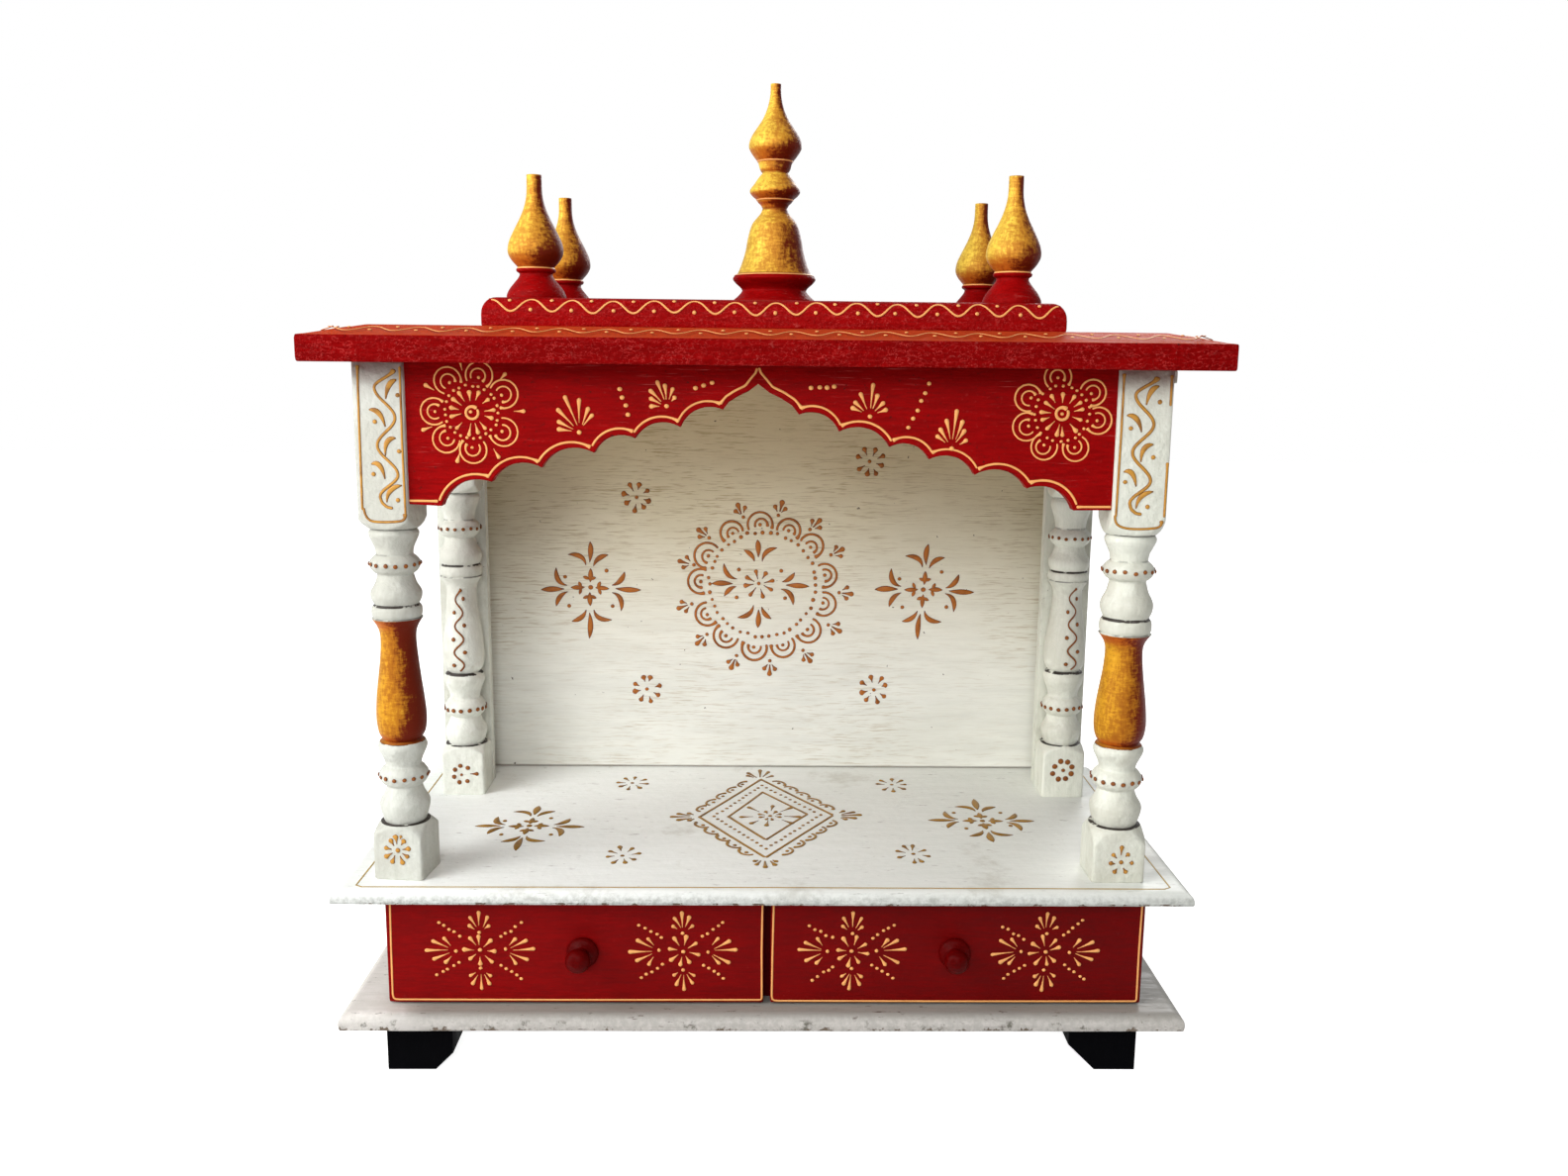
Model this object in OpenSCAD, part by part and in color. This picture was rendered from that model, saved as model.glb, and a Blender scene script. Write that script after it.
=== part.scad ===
// Carved wooden home temple: a raised shrine with an open front and sides, over a base
// with two drawers. Four turned columns and a lobed arch carry a flat roof with five finials.
// Millimetres. +X is to the right, +Y to the back, +Z up. The origin is at the bottom centre.

/* [Roof] */
// Width of the roof board
roof_w = 615; // [560:5:700]
// Depth of the roof board
roof_d = 305; // [290:5:360]
// Height of the roof's upright edge
roof_edge_h = 17.5; // [12:0.5:26]
// Rise of the sloped border around the roof's top
border_rise = 7.5; // [2:0.5:9]
// Width of the sloped border around the roof's top
border_w = 36; // [20:1:45]
// Width of the raised tier on the roof
tier_w = 400; // [380:5:440]
// Depth of the raised tier on the roof
tier_d = 216; // [205:1:230]
// Thickness of the raised tier
tier_t = 19.5; // [14:0.5:26]
// Chamfer around the tier's top edge
tier_chamfer = 8; // [3:1:11]
// Shift of the tier and the finials to the right of the roof's middle
tier_shift = 4; // [0:0.5:8]

/* [Finials] */
// Height of the central finial
centre_finial_h = 161; // [130:1:200]
// Radius of the central finial's foot
centre_finial_r = 31.5; // [24:0.1:38]
// Height of each corner finial
corner_finial_h = 86; // [70:1:110]
// Radius of each corner finial's foot
corner_finial_r = 20.8; // [14:0.1:23]
// Distance from the tier's end to a corner finial's axis
finial_end_inset = 32; // [28:0.5:50]
// Distance from the tier's front or back edge to a corner finial's axis
finial_edge_inset = 36; // [28:0.5:48]

/* [Columns] */
// Height of a column between deck and roof
column_h = 368; // [330:1:420]
// Side of a column's square blocks
block = 36; // [30:0.5:40]
// Distance from the end of the deck to a column's axis, before the front's shift
column_end_inset = 48; // [36:0.5:60]
// Distance from the roof's front edge to the front columns' axes
column_inset = 48.5; // [40:0.5:60]
// Distance between the axes of the front and back columns
column_pitch = 185.5; // [170:0.5:200]
// Shift of the front columns and the arch to the left of the roof's middle
shrine_shift = 2.5; // [0:0.5:6]
// Height of a front column's base block
base_block_h = 37; // [28:1:48]
// Height of a back column's base block
back_block_h = 46.5; // [28:0.5:56]
// Height of a front column's capital block
capital_h = 114; // [100:1:120]
// Height of a back column's capital block
back_capital_h = 107.5; // [95:0.5:120]
// Height over which a block's corners are turned away
shoulder_h = 11; // [6:1:15]

/* [Arch] */
// Thickness of the arch board
arch_t = 12; // [8:1:18]
// Height of the arch board at its ends
arch_h = 96; // [88:1:104]
// Depth of the arch's face behind the capitals' faces
arch_set_back = 1.5; // [0.5:0.5:4]
// Angle that each lobe's arc turns through
lobe_angle = 91; // [50:1:130]

/* [Back] */
// Distance from the roof's back edge to the back of the temple
back_inset = 2.5; // [0:0.5:6]
// Thickness of the back panel
panel_t = 6; // [4:0.5:10]
// Thickness of the stile behind each back column, and of its return to the panel
stile_t = 10; // [6:0.5:14]
// Overhang of a stile past the outer side of its column
stile_overhang = 5; // [0:0.5:8]

/* [Base] */
// Thickness of the bottom board
board_t = 12; // [9:1:18]
// Thickness of the deck
deck_t = 9.5; // [8:0.5:18]
// Distance from the roof's end to the boards' ends
board_end_inset = 0; // [0:0.5:10]
// Distance from the roof's front edge to the boards' front edge
board_inset = 8.5; // [2:0.5:14]
// Radius of the boards' rounded upper edge
edge_round = 7.5; // [2:0.5:8]
// Overhang of the boards past each end of the drawer box
box_overhang = 30; // [20:1:40]
// Shift of the drawer box to the right of the boards' middle
box_shift = 2; // [0:0.5:5]
// Height of the drawer box between the two boards
box_h = 84.5; // [74:0.5:110]
// Thickness of the drawer box's walls and divider
wall = 12; // [8:1:15]
// Height of the feet
foot_h = 40; // [28:1:60]
// Side of a foot
foot_w = 48; // [38:1:60]
// Distance from the end of the bottom board to a foot
foot_end_inset = 31; // [20:1:40]
// Chamfer of the left feet's inner lower corner
left_foot_chamfer = 13; // [4:1:20]
// Chamfer of the right feet's inner lower corner
right_foot_chamfer = 20; // [4:1:24]

/* [Drawers] */
// Thickness of a drawer front
front_t = 12; // [8:1:16]
// Distance from the roof's front edge to the drawer fronts' faces
face_inset = 26; // [22:0.5:34]
// Gap between the two drawer fronts
front_gap = 5; // [3:0.5:9]
// Reveal of the box at the outer end of a drawer front
front_reveal = 2; // [1:0.5:5]
// Gap above and below a drawer front
front_clear = 1.5; // [1:0.25:3]
// Thickness of a drawer tray's sides and back
tray_wall = 8; // [6:0.5:10]
// Thickness of a drawer's bottom
tray_floor_t = 4; // [3:0.5:6]
// Height of a drawer's bottom above the lower edge of its sides
tray_floor_lift = 4; // [3:0.5:8]
// Height of a drawer's sides
tray_h = 60; // [45:1:66]
// Gap between a shut drawer tray and the back of the box
tray_back_gap = 17.5; // [3:0.5:40]
// Clearance on each side of a drawer tray
tray_clear = 1.5; // [1:0.25:3]
// Running gap under a drawer tray, and behind its front when shut
running_gap = 0.3; // [0.2:0.05:0.5]
// Distance of the left knob's axis from the middle of its front, towards the divider
left_knob_shift = 1.5; // [0:0.5:20]
// Distance of the right knob's axis from the middle of its front, towards the divider
right_knob_shift = 5.5; // [0:0.5:20]
// Distance of a knob's axis below the middle of its front
knob_drop = 4; // [0:0.5:12]
// Length of a knob
knob_l = 25; // [20:1:26]
// Radius of a knob's head
knob_r = 9; // [7:0.5:12]

/* [Cleats] */
// Thickness of the cleat under each side of the roof
cleat_t = 7; // [4:0.5:10]
// Height of a cleat
cleat_h = 9; // [6:1:16]
// Distance from the front of a capital to the front end of a cleat
cleat_set_back = 20; // [8:1:30]

/* [Hidden] */

$fn = 64;
// Overlap that lets fused volumes of one piece share a wall
fuse = 1;
// Steps of a smoothed outline between two of its points
smooth_steps = 4;
// Steps of one lobe of the arch
lobe_steps = 12;

red = "firebrick";
dark_red = "darkred";
off_white = "ivory";
gold = "goldenrod";
black = "dimgray";
raw_wood = "burlywood";

// Levels, from the floor up
bottom_top = foot_h + board_t;
deck_z = bottom_top + box_h;
deck_top = deck_z + deck_t;
roof_z = deck_top + column_h;
roof_top = roof_z + roof_edge_h + border_rise;
tier_top = roof_top + tier_t;

// Widths
board_w = roof_w - 2 * board_end_inset;
box_w = board_w - 2 * box_overhang;
column_x = board_w / 2 - column_end_inset;
corner_finial_x = tier_w / 2 - finial_end_inset;
corner_finial_y = tier_d / 2 - finial_edge_inset;
stile_outer = column_x + block / 2 + stile_overhang;

// Planes, from front to back
board_front = board_inset - roof_d / 2;
face_y = face_inset - roof_d / 2;
box_front = face_y + front_t + running_gap;
back_y = roof_d / 2 - back_inset;
front_column_y = column_inset - roof_d / 2;
back_column_y = front_column_y + column_pitch;
panel_front = back_y - panel_t;
arch_front = front_column_y - block / 2 + arch_set_back;
arch_half = column_x - block / 2;
stile_front = back_column_y + block / 2;

// The drawers, in the bay between a box side and the divider
bay_outer = box_w / 2 - wall;
bay_inner = wall / 2;
tray_outer = bay_outer - tray_clear;
tray_inner = bay_inner + tray_clear;
tray_z = bottom_top + running_gap;
tray_front = face_y + front_t;
tray_end = back_y - wall - tray_back_gap;
front_outer = box_w / 2 - front_reveal;
front_inner = front_gap / 2;
knob_z = bottom_top + box_h / 2 - knob_drop;

// Outline of a column's turned part: height and radius of each bell, ring, cup, vase and
// collar, as drawn on stock 37 square
drawn_stock = 37;
lower_bell = [[0, 15.2], [3, 16.4], [9, 18], [13, 18.4], [16, 17.6], [21, 14.8], [26, 13.2]];
lower_ring = [[27, 13.4], [29, 15.8], [32, 17.6], [34.5, 18], [37, 17.6], [40, 15.6], [41.5, 13.6]];
lower_cup = [[42.5, 13.2], [46, 14], [50, 15.8], [54, 17.6], [57, 18], [60, 16.6]];
vase = [[61, 13.5], [63, 15.2], [67, 17.2], [74, 18.3], [82, 18.4], [94, 17.4], [108, 15.6],
    [122, 13.8], [134, 12.8], [141, 12.8], [146, 14.2], [151, 16.2]];
collar = [[151.8, 17.2], [153.5, 18], [156, 18.2], [159, 17.8], [160.5, 16.6]];
upper_bell = [[161.5, 16], [165, 17.8], [169, 18.4], [172, 17.6], [177, 14.8], [183, 13]];
upper_ring = [[184, 13.4], [186, 16], [189, 17.8], [191, 18.1], [193.5, 17.6], [196, 15.6],
    [197.5, 13.6]];
upper_cup = [[198.5, 13.4], [203, 14.2], [208, 16.4], [212, 18], [214.5, 17.8], [217, 16]];
turning = [lower_bell, lower_ring, lower_cup, vase, collar, upper_bell, upper_ring, upper_cup];
// The back columns' vase is shorter: heights on the front turning, and where they come there
back_heights = [[0, 0], [61, 61], [151.5, 143], [198, 190], [217, 214]];
back_turning = [for (bead = turning) [for (q = bead) [lookup(q[0], back_heights), q[1]]]];

// Outlines of the finials, as drawn 160 and 88 high on feet of radius 31.5 and 20.8
drawn_centre_finial = [160, 31.5];
centre_foot = [[0, 31.2], [4, 31], [6.8, 28], [10.6, 24.7], [13, 25.2], [16.8, 29.4],
    [19.9, 31.5], [22.6, 30]];
centre_bell = [[23.5, 28], [29, 25.6], [35.6, 23.3], [42, 21.6], [48, 20.6], [55.6, 18.7],
    [60.6, 16.7], [64.4, 13.6], [68, 10.6], [71, 9.4]];
centre_collar = [[72, 9.2], [75, 10.4], [78, 13.2], [80.5, 16], [84, 18.8], [87, 18.9],
    [90, 17.2], [93.5, 13.8], [97, 9.6]];
centre_bulb = [[98, 9.4], [103, 12.6], [108, 14.8], [113, 17.7], [118, 19.7], [122, 19.7],
    [126, 17.9], [131, 13.3], [136, 9.4], [142, 6.6], [148, 4.9], [154, 4], [160, 3.9]];
centre_outline = [centre_foot, centre_bell, centre_collar, centre_bulb];
drawn_corner_finial = [88, 20.8];
corner_foot = [[0, 20.8], [3, 20.6], [7.5, 18.4], [12, 14.9], [15.5, 12.8], [18.5, 12],
    [22, 12.3]];
corner_bulb = [[23, 12.6], [25.5, 13.8], [29, 16], [34.5, 18.5], [40, 19.2], [45.5, 18.4],
    [50.6, 16.5], [55, 14.1], [59.2, 11.6], [63.5, 9.1], [67.8, 7.2], [72, 5.9], [78, 5.3],
    [88, 5.2]];
corner_outline = [corner_foot, corner_bulb];

// Outline of a knob: distance from the drawer's face and radius, as drawn 25 long
// with a head of radius 9
drawn_knob = [25, 9];
knob_outline = [[[0, 9.2], [2, 9.4], [4, 8]], [[5, 5.6], [8, 5], [12, 5.6]],
    [[13, 7.4], [16, 9], [19.5, 8.9], [23, 6.6], [25, 2.5]]];

// Points of the arch, each as a share of its half span and of its height at the ends:
// the tip of the ogee, then each cusp out to the flat end
arch_tip_share = [0, 0.132];
arch_cusp_shares = [[0.109, 0.318], [0.225, 0.432], [0.365, 0.536], [0.479, 0.63],
    [0.62, 0.758], [0.764, 0.857], [0.9, 1]];
// Point of the ogee between the tip and the first cusp
arch_ogee_shares = [[0.03, 0.185], [0.062, 0.222], [0.09, 0.264]];

// Catmull-Rom curve through the points of one outline
function curve_point(a, b, c, d, t) =
    0.5 * (2 * b + (c - a) * t + (2 * a - 5 * b + 4 * c - d) * t * t
        + (3 * b - a - 3 * c + d) * t * t * t);
function smooth(p) = concat(
    [for (i = [0:len(p) - 2], j = [0:smooth_steps - 1])
        curve_point(p[max(i - 1, 0)], p[i], p[i + 1], p[min(i + 2, len(p) - 1)],
            j / smooth_steps)],
    [p[len(p) - 1]]);

// All outlines of a turned piece, one after the other, as [radius, height]
function outline(parts, kr, kz) =
    [for (part = parts, q = smooth(part)) [q[1] * kr, q[0] * kz]];

// Solid of revolution from such an outline
module turned(parts, kr, kz) {
    points = outline(parts, kr, kz);
    rotate_extrude() polygon(concat([[0, points[0][1]]], points,
        [[0, points[len(points) - 1][1]]]));
}

// Copies for the left (-1) or right (1) side are mirrored, so both share their sizes
module on_side(side) {
    if (side < 0) mirror([1, 0, 0]) children();
    else children();
}

// A plank that fills a range on each axis
module plank(x, y, z) {
    translate([x[0], y[0], z[0]]) cube([x[1] - x[0], y[1] - y[0], z[1] - z[0]]);
}

// Cross-section of a board of thickness t with its upper edges rounded, from x0 to x1
module rounded_section(x0, x1, t, round_far) {
    x_end = round_far ? x1 - edge_round : x1;
    translate([x0, 0]) square([x1 - x0, t - edge_round]);
    intersection() {
        union() {
            translate([x0 + edge_round, 0]) square([x_end - x0 - edge_round, t]);
            translate([x0 + edge_round, t - edge_round]) circle(edge_round);
            if (round_far) translate([x_end, t - edge_round]) circle(edge_round);
        }
        translate([x0, 0]) square([x1 - x0, t]);
    }
}

// Section along X crossed with a section along Y: a board whose edges meet in mitres
module crossed(length_x, length_y, z) {
    translate([0, 0, z]) intersection() {
        translate([0, length_y / 2, 0]) rotate([90, 0, 0]) linear_extrude(length_y) children(0);
        translate([-length_x / 2, 0, 0]) rotate([90, 0, 90]) linear_extrude(length_x) children(1);
    }
}

// Board with rounded upper edges at its front and both ends, square at the back
module moulded_board(z, t) {
    crossed(2 * board_w, 2 * roof_d, z) {
        rounded_section(-board_w / 2, board_w / 2, t, true);
        rounded_section(board_front, back_y, t, false);
    }
}

// Cross-section of a board with an upright edge and a sloped border
module bordered_section(half, edge, rise, run) {
    polygon([[-half, 0], [half, 0], [half, edge], [half - run, edge + rise],
        [run - half, edge + rise], [-half, edge]]);
}

module foot(side, front, chamfer) {
    y0 = front ? face_y : back_y - foot_w;
    outer = board_w / 2 - foot_end_inset;
    inner = outer - foot_w;
    color(black) on_side(side) translate([0, y0 + foot_w, 0]) rotate([90, 0, 0])
        linear_extrude(foot_w) polygon([[outer, 0], [outer, foot_h], [inner, foot_h],
            [inner, chamfer], [inner + chamfer, 0]]);
}

module bottom_board() {
    color(off_white) moulded_board(foot_h, board_t);
}

module deck_board() {
    color(off_white) moulded_board(deck_z, deck_t);
}

// The drawer box stands a little to the right
module boxed() {
    translate([box_shift, 0, 0]) children();
}

module box_side(side) {
    color(dark_red) boxed() on_side(side)
        plank([bay_outer, box_w / 2], [box_front, back_y], [bottom_top, deck_z]);
}

module box_back() {
    color(off_white) boxed()
        plank([-bay_outer, bay_outer], [back_y - wall, back_y], [bottom_top, deck_z]);
}

module box_divider() {
    color(dark_red) boxed()
        plank([-bay_inner, bay_inner], [box_front, back_y - wall], [bottom_top, deck_z]);
}

module drawer_front(side) {
    color(red) boxed() on_side(side) plank([front_inner, front_outer], [face_y, tray_front],
        [bottom_top + front_clear, deck_z - front_clear]);
}

module drawer_side(side, x) {
    color(raw_wood) boxed() on_side(side)
        plank([x, x + tray_wall], [tray_front, tray_end], [tray_z, tray_z + tray_h]);
}

module drawer_back(side) {
    color(raw_wood) boxed() on_side(side) plank([tray_inner + tray_wall, tray_outer - tray_wall],
        [tray_end - tray_wall, tray_end], [tray_z, tray_z + tray_h]);
}

module drawer_bottom(side) {
    z = tray_z + tray_floor_lift;
    color(raw_wood) boxed() on_side(side) plank([tray_inner + tray_wall, tray_outer - tray_wall],
        [tray_front, tray_end - tray_wall], [z, z + tray_floor_t]);
}

module drawer_knob(side, shift) {
    knob_x = (front_inner + front_outer) / 2 - shift;
    color(red) boxed() on_side(side) translate([knob_x, face_y, knob_z]) rotate([90, 0, 0])
        turned(knob_outline, knob_r / drawn_knob[1], knob_l / drawn_knob[0]);
}

// A square block whose corners are turned away at its upper end
module shouldered_block(h) {
    half = block / 2;
    corner = half * sqrt(2) + fuse;
    profile = smooth([[h - shoulder_h, corner], [h - shoulder_h * 0.6, corner * 0.93],
        [h - shoulder_h * 0.25, half * 1.16], [h, half * 0.97]]);
    intersection() {
        translate([-half, -half, 0]) cube([block, block, h]);
        rotate_extrude() polygon(concat([[0, 0], [corner, 0]], [for (q = profile) [q[1], q[0]]],
            [[0, h]]));
    }
}

module column(side, y, beads, base_h, top_h) {
    turned_h = column_h - base_h - top_h;
    last = beads[len(beads) - 1];
    color(off_white) on_side(side) translate([column_x, y, deck_top]) {
        shouldered_block(base_h);
        translate([0, 0, base_h])
            turned(beads, block / drawn_stock, turned_h / last[len(last) - 1][0]);
        translate([0, 0, column_h]) mirror([0, 0, 1]) shouldered_block(top_h);
        for (z = [base_h, column_h - top_h])
            translate([0, 0, z - fuse]) cylinder(r = block * 0.42, h = 2 * fuse);
    }
}

// The front columns and the arch stand a little to the left
module shrine_front() {
    translate([-shrine_shift, 0, 0]) children();
}

module front_column(side) {
    shrine_front() column(side, front_column_y, turning, base_block_h, capital_h);
}

module back_column(side) {
    column(side, back_column_y, back_turning, back_block_h, back_capital_h);
}

// A stile behind the back column, with a return at its outer side back to the panel
module stile(side) {
    color(off_white) on_side(side) union() {
        plank([arch_half, stile_outer], [stile_front, stile_front + stile_t],
            [deck_top, roof_z]);
        plank([stile_outer - stile_t, stile_outer], [stile_front, panel_front],
            [deck_top, roof_z]);
    }
}

module back_panel() {
    color(off_white)
        plank([-stile_outer, stile_outer], [panel_front, back_y], [deck_top, roof_z]);
}

// A share of the arch's span and height as a point below the roof
function arch_point(q) = [q[0] * arch_half, -q[1] * arch_h];

// Points of an arc from a to b that bulges upward, without its last point
function lobe(a, b) =
    let (chord = b - a, radius = norm(chord) / 2 / sin(lobe_angle / 2),
        lean = atan2(chord[0], -chord[1]),
        centre = (a + b) / 2 - radius * cos(lobe_angle / 2) * [cos(lean), sin(lean)])
    [for (i = [0:lobe_steps - 1])
        let (angle = lean + lobe_angle * (0.5 - i / lobe_steps))
        centre + radius * [cos(angle), sin(angle)]];

// Lower edge of the arch's right half, from the tip out to the end
arch_edge = concat([arch_point(arch_tip_share)], [for (q = arch_ogee_shares) arch_point(q)],
    [for (i = [0:len(arch_cusp_shares) - 2])
        each lobe(arch_point(arch_cusp_shares[i]), arch_point(arch_cusp_shares[i + 1]))],
    [arch_point(arch_cusp_shares[len(arch_cusp_shares) - 1]), [arch_half, -arch_h]]);

module front_arch() {
    left = [for (i = [len(arch_edge) - 1:-1:1]) [-arch_edge[i][0], arch_edge[i][1]]];
    color(red) shrine_front() translate([0, arch_front + arch_t, roof_z]) rotate([90, 0, 0])
        linear_extrude(arch_t)
            polygon(concat([[-arch_half, 0]], left, arch_edge, [[arch_half, 0]]));
}

// A cleat lies against the outer side of whichever of its two columns stands further out
module side_cleat(side) {
    x = column_x + block / 2 + max(0, -side * shrine_shift);
    color(off_white) on_side(side) plank([x, x + cleat_t],
        [front_column_y - block / 2 + cleat_set_back, stile_front], [roof_z - cleat_h, roof_z]);
}

module roof_board() {
    color(red) crossed(2 * roof_w, 2 * roof_d, roof_z) {
        bordered_section(roof_w / 2, roof_edge_h, border_rise, border_w);
        bordered_section(roof_d / 2, roof_edge_h, border_rise, border_w);
    }
}

module roof_tier() {
    edge = tier_t - tier_chamfer;
    color(red) translate([tier_shift, 0, 0]) crossed(2 * tier_w, 2 * tier_d, roof_top) {
        bordered_section(tier_w / 2, edge, tier_chamfer, tier_chamfer);
        bordered_section(tier_d / 2, edge, tier_chamfer, tier_chamfer);
    }
}

module finial_centre() {
    color(gold) translate([tier_shift, 0, tier_top]) turned(centre_outline,
        centre_finial_r / drawn_centre_finial[1], centre_finial_h / drawn_centre_finial[0]);
}

module corner_finial(side, front) {
    y = front ? -corner_finial_y : corner_finial_y;
    color(gold) translate([tier_shift + side * corner_finial_x, y, tier_top])
        turned(corner_outline, corner_finial_r / drawn_corner_finial[1],
            corner_finial_h / drawn_corner_finial[0]);
}

foot(-1, true, left_foot_chamfer);  // foot_front_left
foot(1, true, right_foot_chamfer);  // foot_front_right
foot(-1, false, left_foot_chamfer);  // foot_back_left
foot(1, false, right_foot_chamfer);  // foot_back_right
bottom_board();
box_side(-1);  // box_side_left
box_side(1);  // box_side_right
box_back();
box_divider();
deck_board();
drawer_front(-1);  // drawer_left_front
drawer_side(-1, tray_outer - tray_wall);  // drawer_left_outer_side
drawer_side(-1, tray_inner);  // drawer_left_inner_side
drawer_back(-1);  // drawer_left_back
drawer_bottom(-1);  // drawer_left_bottom
drawer_knob(-1, left_knob_shift);  // drawer_left_knob
drawer_front(1);  // drawer_right_front
drawer_side(1, tray_outer - tray_wall);  // drawer_right_outer_side
drawer_side(1, tray_inner);  // drawer_right_inner_side
drawer_back(1);  // drawer_right_back
drawer_bottom(1);  // drawer_right_bottom
drawer_knob(1, right_knob_shift);  // drawer_right_knob
front_column(-1);  // column_front_left
front_column(1);  // column_front_right
back_column(-1);  // column_back_left
back_column(1);  // column_back_right
stile(-1);  // stile_left
stile(1);  // stile_right
back_panel();
front_arch();
side_cleat(-1);  // side_cleat_left
side_cleat(1);  // side_cleat_right
roof_board();
roof_tier();
finial_centre();
corner_finial(-1, true);  // finial_front_left
corner_finial(1, true);  // finial_front_right
corner_finial(-1, false);  // finial_back_left
corner_finial(1, false);  // finial_back_right
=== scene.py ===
"""Looks of a carved wooden home temple: painted boards, turned columns, gilded finials
and the raised ornament that is piped on with a paint cone.

Lengths in the code are millimetres until a mesh is made. +X is right, +Y back, +Z up.
"""

import bpy
import numpy as np
from bpy.props import FloatProperty, FloatVectorProperty, IntProperty, PointerProperty
from mathutils import Matrix, Vector


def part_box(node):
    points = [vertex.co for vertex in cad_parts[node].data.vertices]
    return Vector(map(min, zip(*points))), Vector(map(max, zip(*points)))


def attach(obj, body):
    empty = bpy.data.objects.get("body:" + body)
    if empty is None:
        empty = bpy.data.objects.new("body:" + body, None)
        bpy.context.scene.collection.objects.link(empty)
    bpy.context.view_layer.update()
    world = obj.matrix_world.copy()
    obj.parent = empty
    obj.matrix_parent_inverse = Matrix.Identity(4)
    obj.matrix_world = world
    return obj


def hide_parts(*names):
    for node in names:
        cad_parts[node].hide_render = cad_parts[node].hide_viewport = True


bl_info = {
    "name": "Carved Home Temple",
    "version": (1, 0, 0),
    "blender": (4, 5, 0),
    "location": "View3D > Sidebar > Temple",
    "description": "Painted and ornamented pieces of a wooden home temple",
    "category": "Object",
}

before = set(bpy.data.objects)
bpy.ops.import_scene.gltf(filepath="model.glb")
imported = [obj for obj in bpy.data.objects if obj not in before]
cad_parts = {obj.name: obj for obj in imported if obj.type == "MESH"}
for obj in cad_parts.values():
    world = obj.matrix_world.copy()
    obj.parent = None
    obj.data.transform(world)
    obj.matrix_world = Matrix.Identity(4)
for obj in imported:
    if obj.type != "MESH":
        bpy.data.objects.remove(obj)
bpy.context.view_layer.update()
MM = 0.001


def cad_box(node):
    """Lowest and highest corner of a CAD node in millimetres."""
    low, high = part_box(node)
    return np.array(low) / MM, np.array(high) / MM


ROOF = cad_box("roof_board")
TIER = cad_box("roof_tier")
DECK = cad_box("deck_board")
ARCH = cad_box("front_arch")
ARCH_X = (ARCH[0][0] + ARCH[1][0]) / 2
PANEL = cad_box("back_panel")
COLUMNS = ("column_front_left", "column_front_right", "column_back_left", "column_back_right")
CORNER_FINIALS = tuple("finial_" + name[7:] for name in COLUMNS)
# The roof board's upright edge, and the tier's height over it
ROOF_EDGE_H, TIER_T = 17.5, 19.5
# Where the camera stands in metres, its yaw, pitch and roll in degrees, and its lens
CAMERA_PLACE, CAMERA_TURN, CAMERA_LENS = (-0.0052, -1.0008, 0.5169), (1.097, 9.998, 0.613), 29.44
# The lamps: place in metres, width of the disk and power. All point at the middle of the temple
LAMPS = {
    "key": ((-1.5, -1.1, 1.6), 1.5, 29.0),
    "front": ((-0.2, -2.2, 1.3), 1.0, 23.0),
    "side": ((-1.7, -0.8, 0.8), 1.3, 17.0),
    "back": ((0.9, 2.1, 1.4), 1.2, 22.0),
}
LAMP_AIM = Vector((0, 0, 0.35))


# ---------------------------------------------------------------- settings


def colour(name, description, value):
    """A colour property, given in linear values."""
    return FloatVectorProperty(
        name=name, description=description, subtype="COLOR", size=3, min=0, max=1, default=value
    )


class TemplePaints(bpy.types.PropertyGroup):
    """Colours of the paints."""

    white: colour("White", "White paint of the boards and columns", (0.9, 0.925, 0.9))
    column_white: colour("Column white", "Creamy white of columns, stiles and cleats",
                         (0.7, 0.71, 0.645))
    panel_white: colour("Panel white", "Thinner white paint of the back panel", (0.86, 0.86, 0.79))
    # panel_brown also gives the painted shade near the roof
    panel_brown: colour("Panel brown", "Grain and bare patches of the back panel",
                        (0.36, 0.25, 0.1))
    red: colour("Red", "Red paint of the roof and the arch", (0.32, 0.0015, 0.002))
    drawer_red: colour("Drawer red", "Darker red of the drawer box", (0.215, 0.0013, 0.0016))
    gold: colour("Gold", "Gold paint of the finials", (0.84, 0.58, 0.07))
    vase_gold: colour("Vase gold", "Gold paint of the front columns' vases", (0.6, 0.29, 0.016))
    cone_on_white: colour("Cone on white", "Ochre of the ornament on white", (0.42, 0.125, 0.014))
    cone_on_capital: colour("Cone on capitals", "Ochre of the capitals", (0.5, 0.24, 0.035))
    cone_on_deck: colour("Cone on deck", "Olive gold of the deck's ornament", (0.33, 0.165, 0.018))
    cone_on_red: colour("Cone on red", "Pale gold of the ornament on red", (0.85, 0.4, 0.125))
    bare: colour("Bare wood", "Unpainted wood of the drawer trays", (0.52, 0.32, 0.16))
    black: colour("Black", "Black paint of the feet", (0.002, 0.002, 0.0025))
    grime: colour("Grime", "Dark of grooves, chips and rubbed edges", (0.03, 0.023, 0.018))


def length(name, description, value, low, high):
    """A length property, given in millimetres."""
    return FloatProperty(name=name, description=description, unit="LENGTH", default=value * MM,
                         min=low * MM, max=high * MM)


class TempleSizes(bpy.types.PropertyGroup):
    """Sizes that a carver or painter would change."""

    softness: length("Edge softness", "Radius of a board's rubbed edges", 0.9, 0.3, 2)
    chip_depth: length("Chip depth", "Depth of the dents along a board's edges", 0.8, 0, 2)
    relief: FloatProperty(name="Relief",
                          description="Height of a piped stroke as a share of its half width",
                          default=0.55, min=0.2, max=1, subtype="FACTOR")
    shake: length("Hand shake", "How far a stroke strays from its place", 0.35, 0, 1)
    column_sides: IntProperty(name="Column sides", description="Points round a turned column",
                              default=64, min=32, max=128)
    line: length("Outline width", "Half width of the lines that frame arch, capitals and drawers",
                 0.85, 0.4, 2)


def paints():
    """The scene's paint colours."""
    return bpy.context.scene.temple_paints


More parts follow.
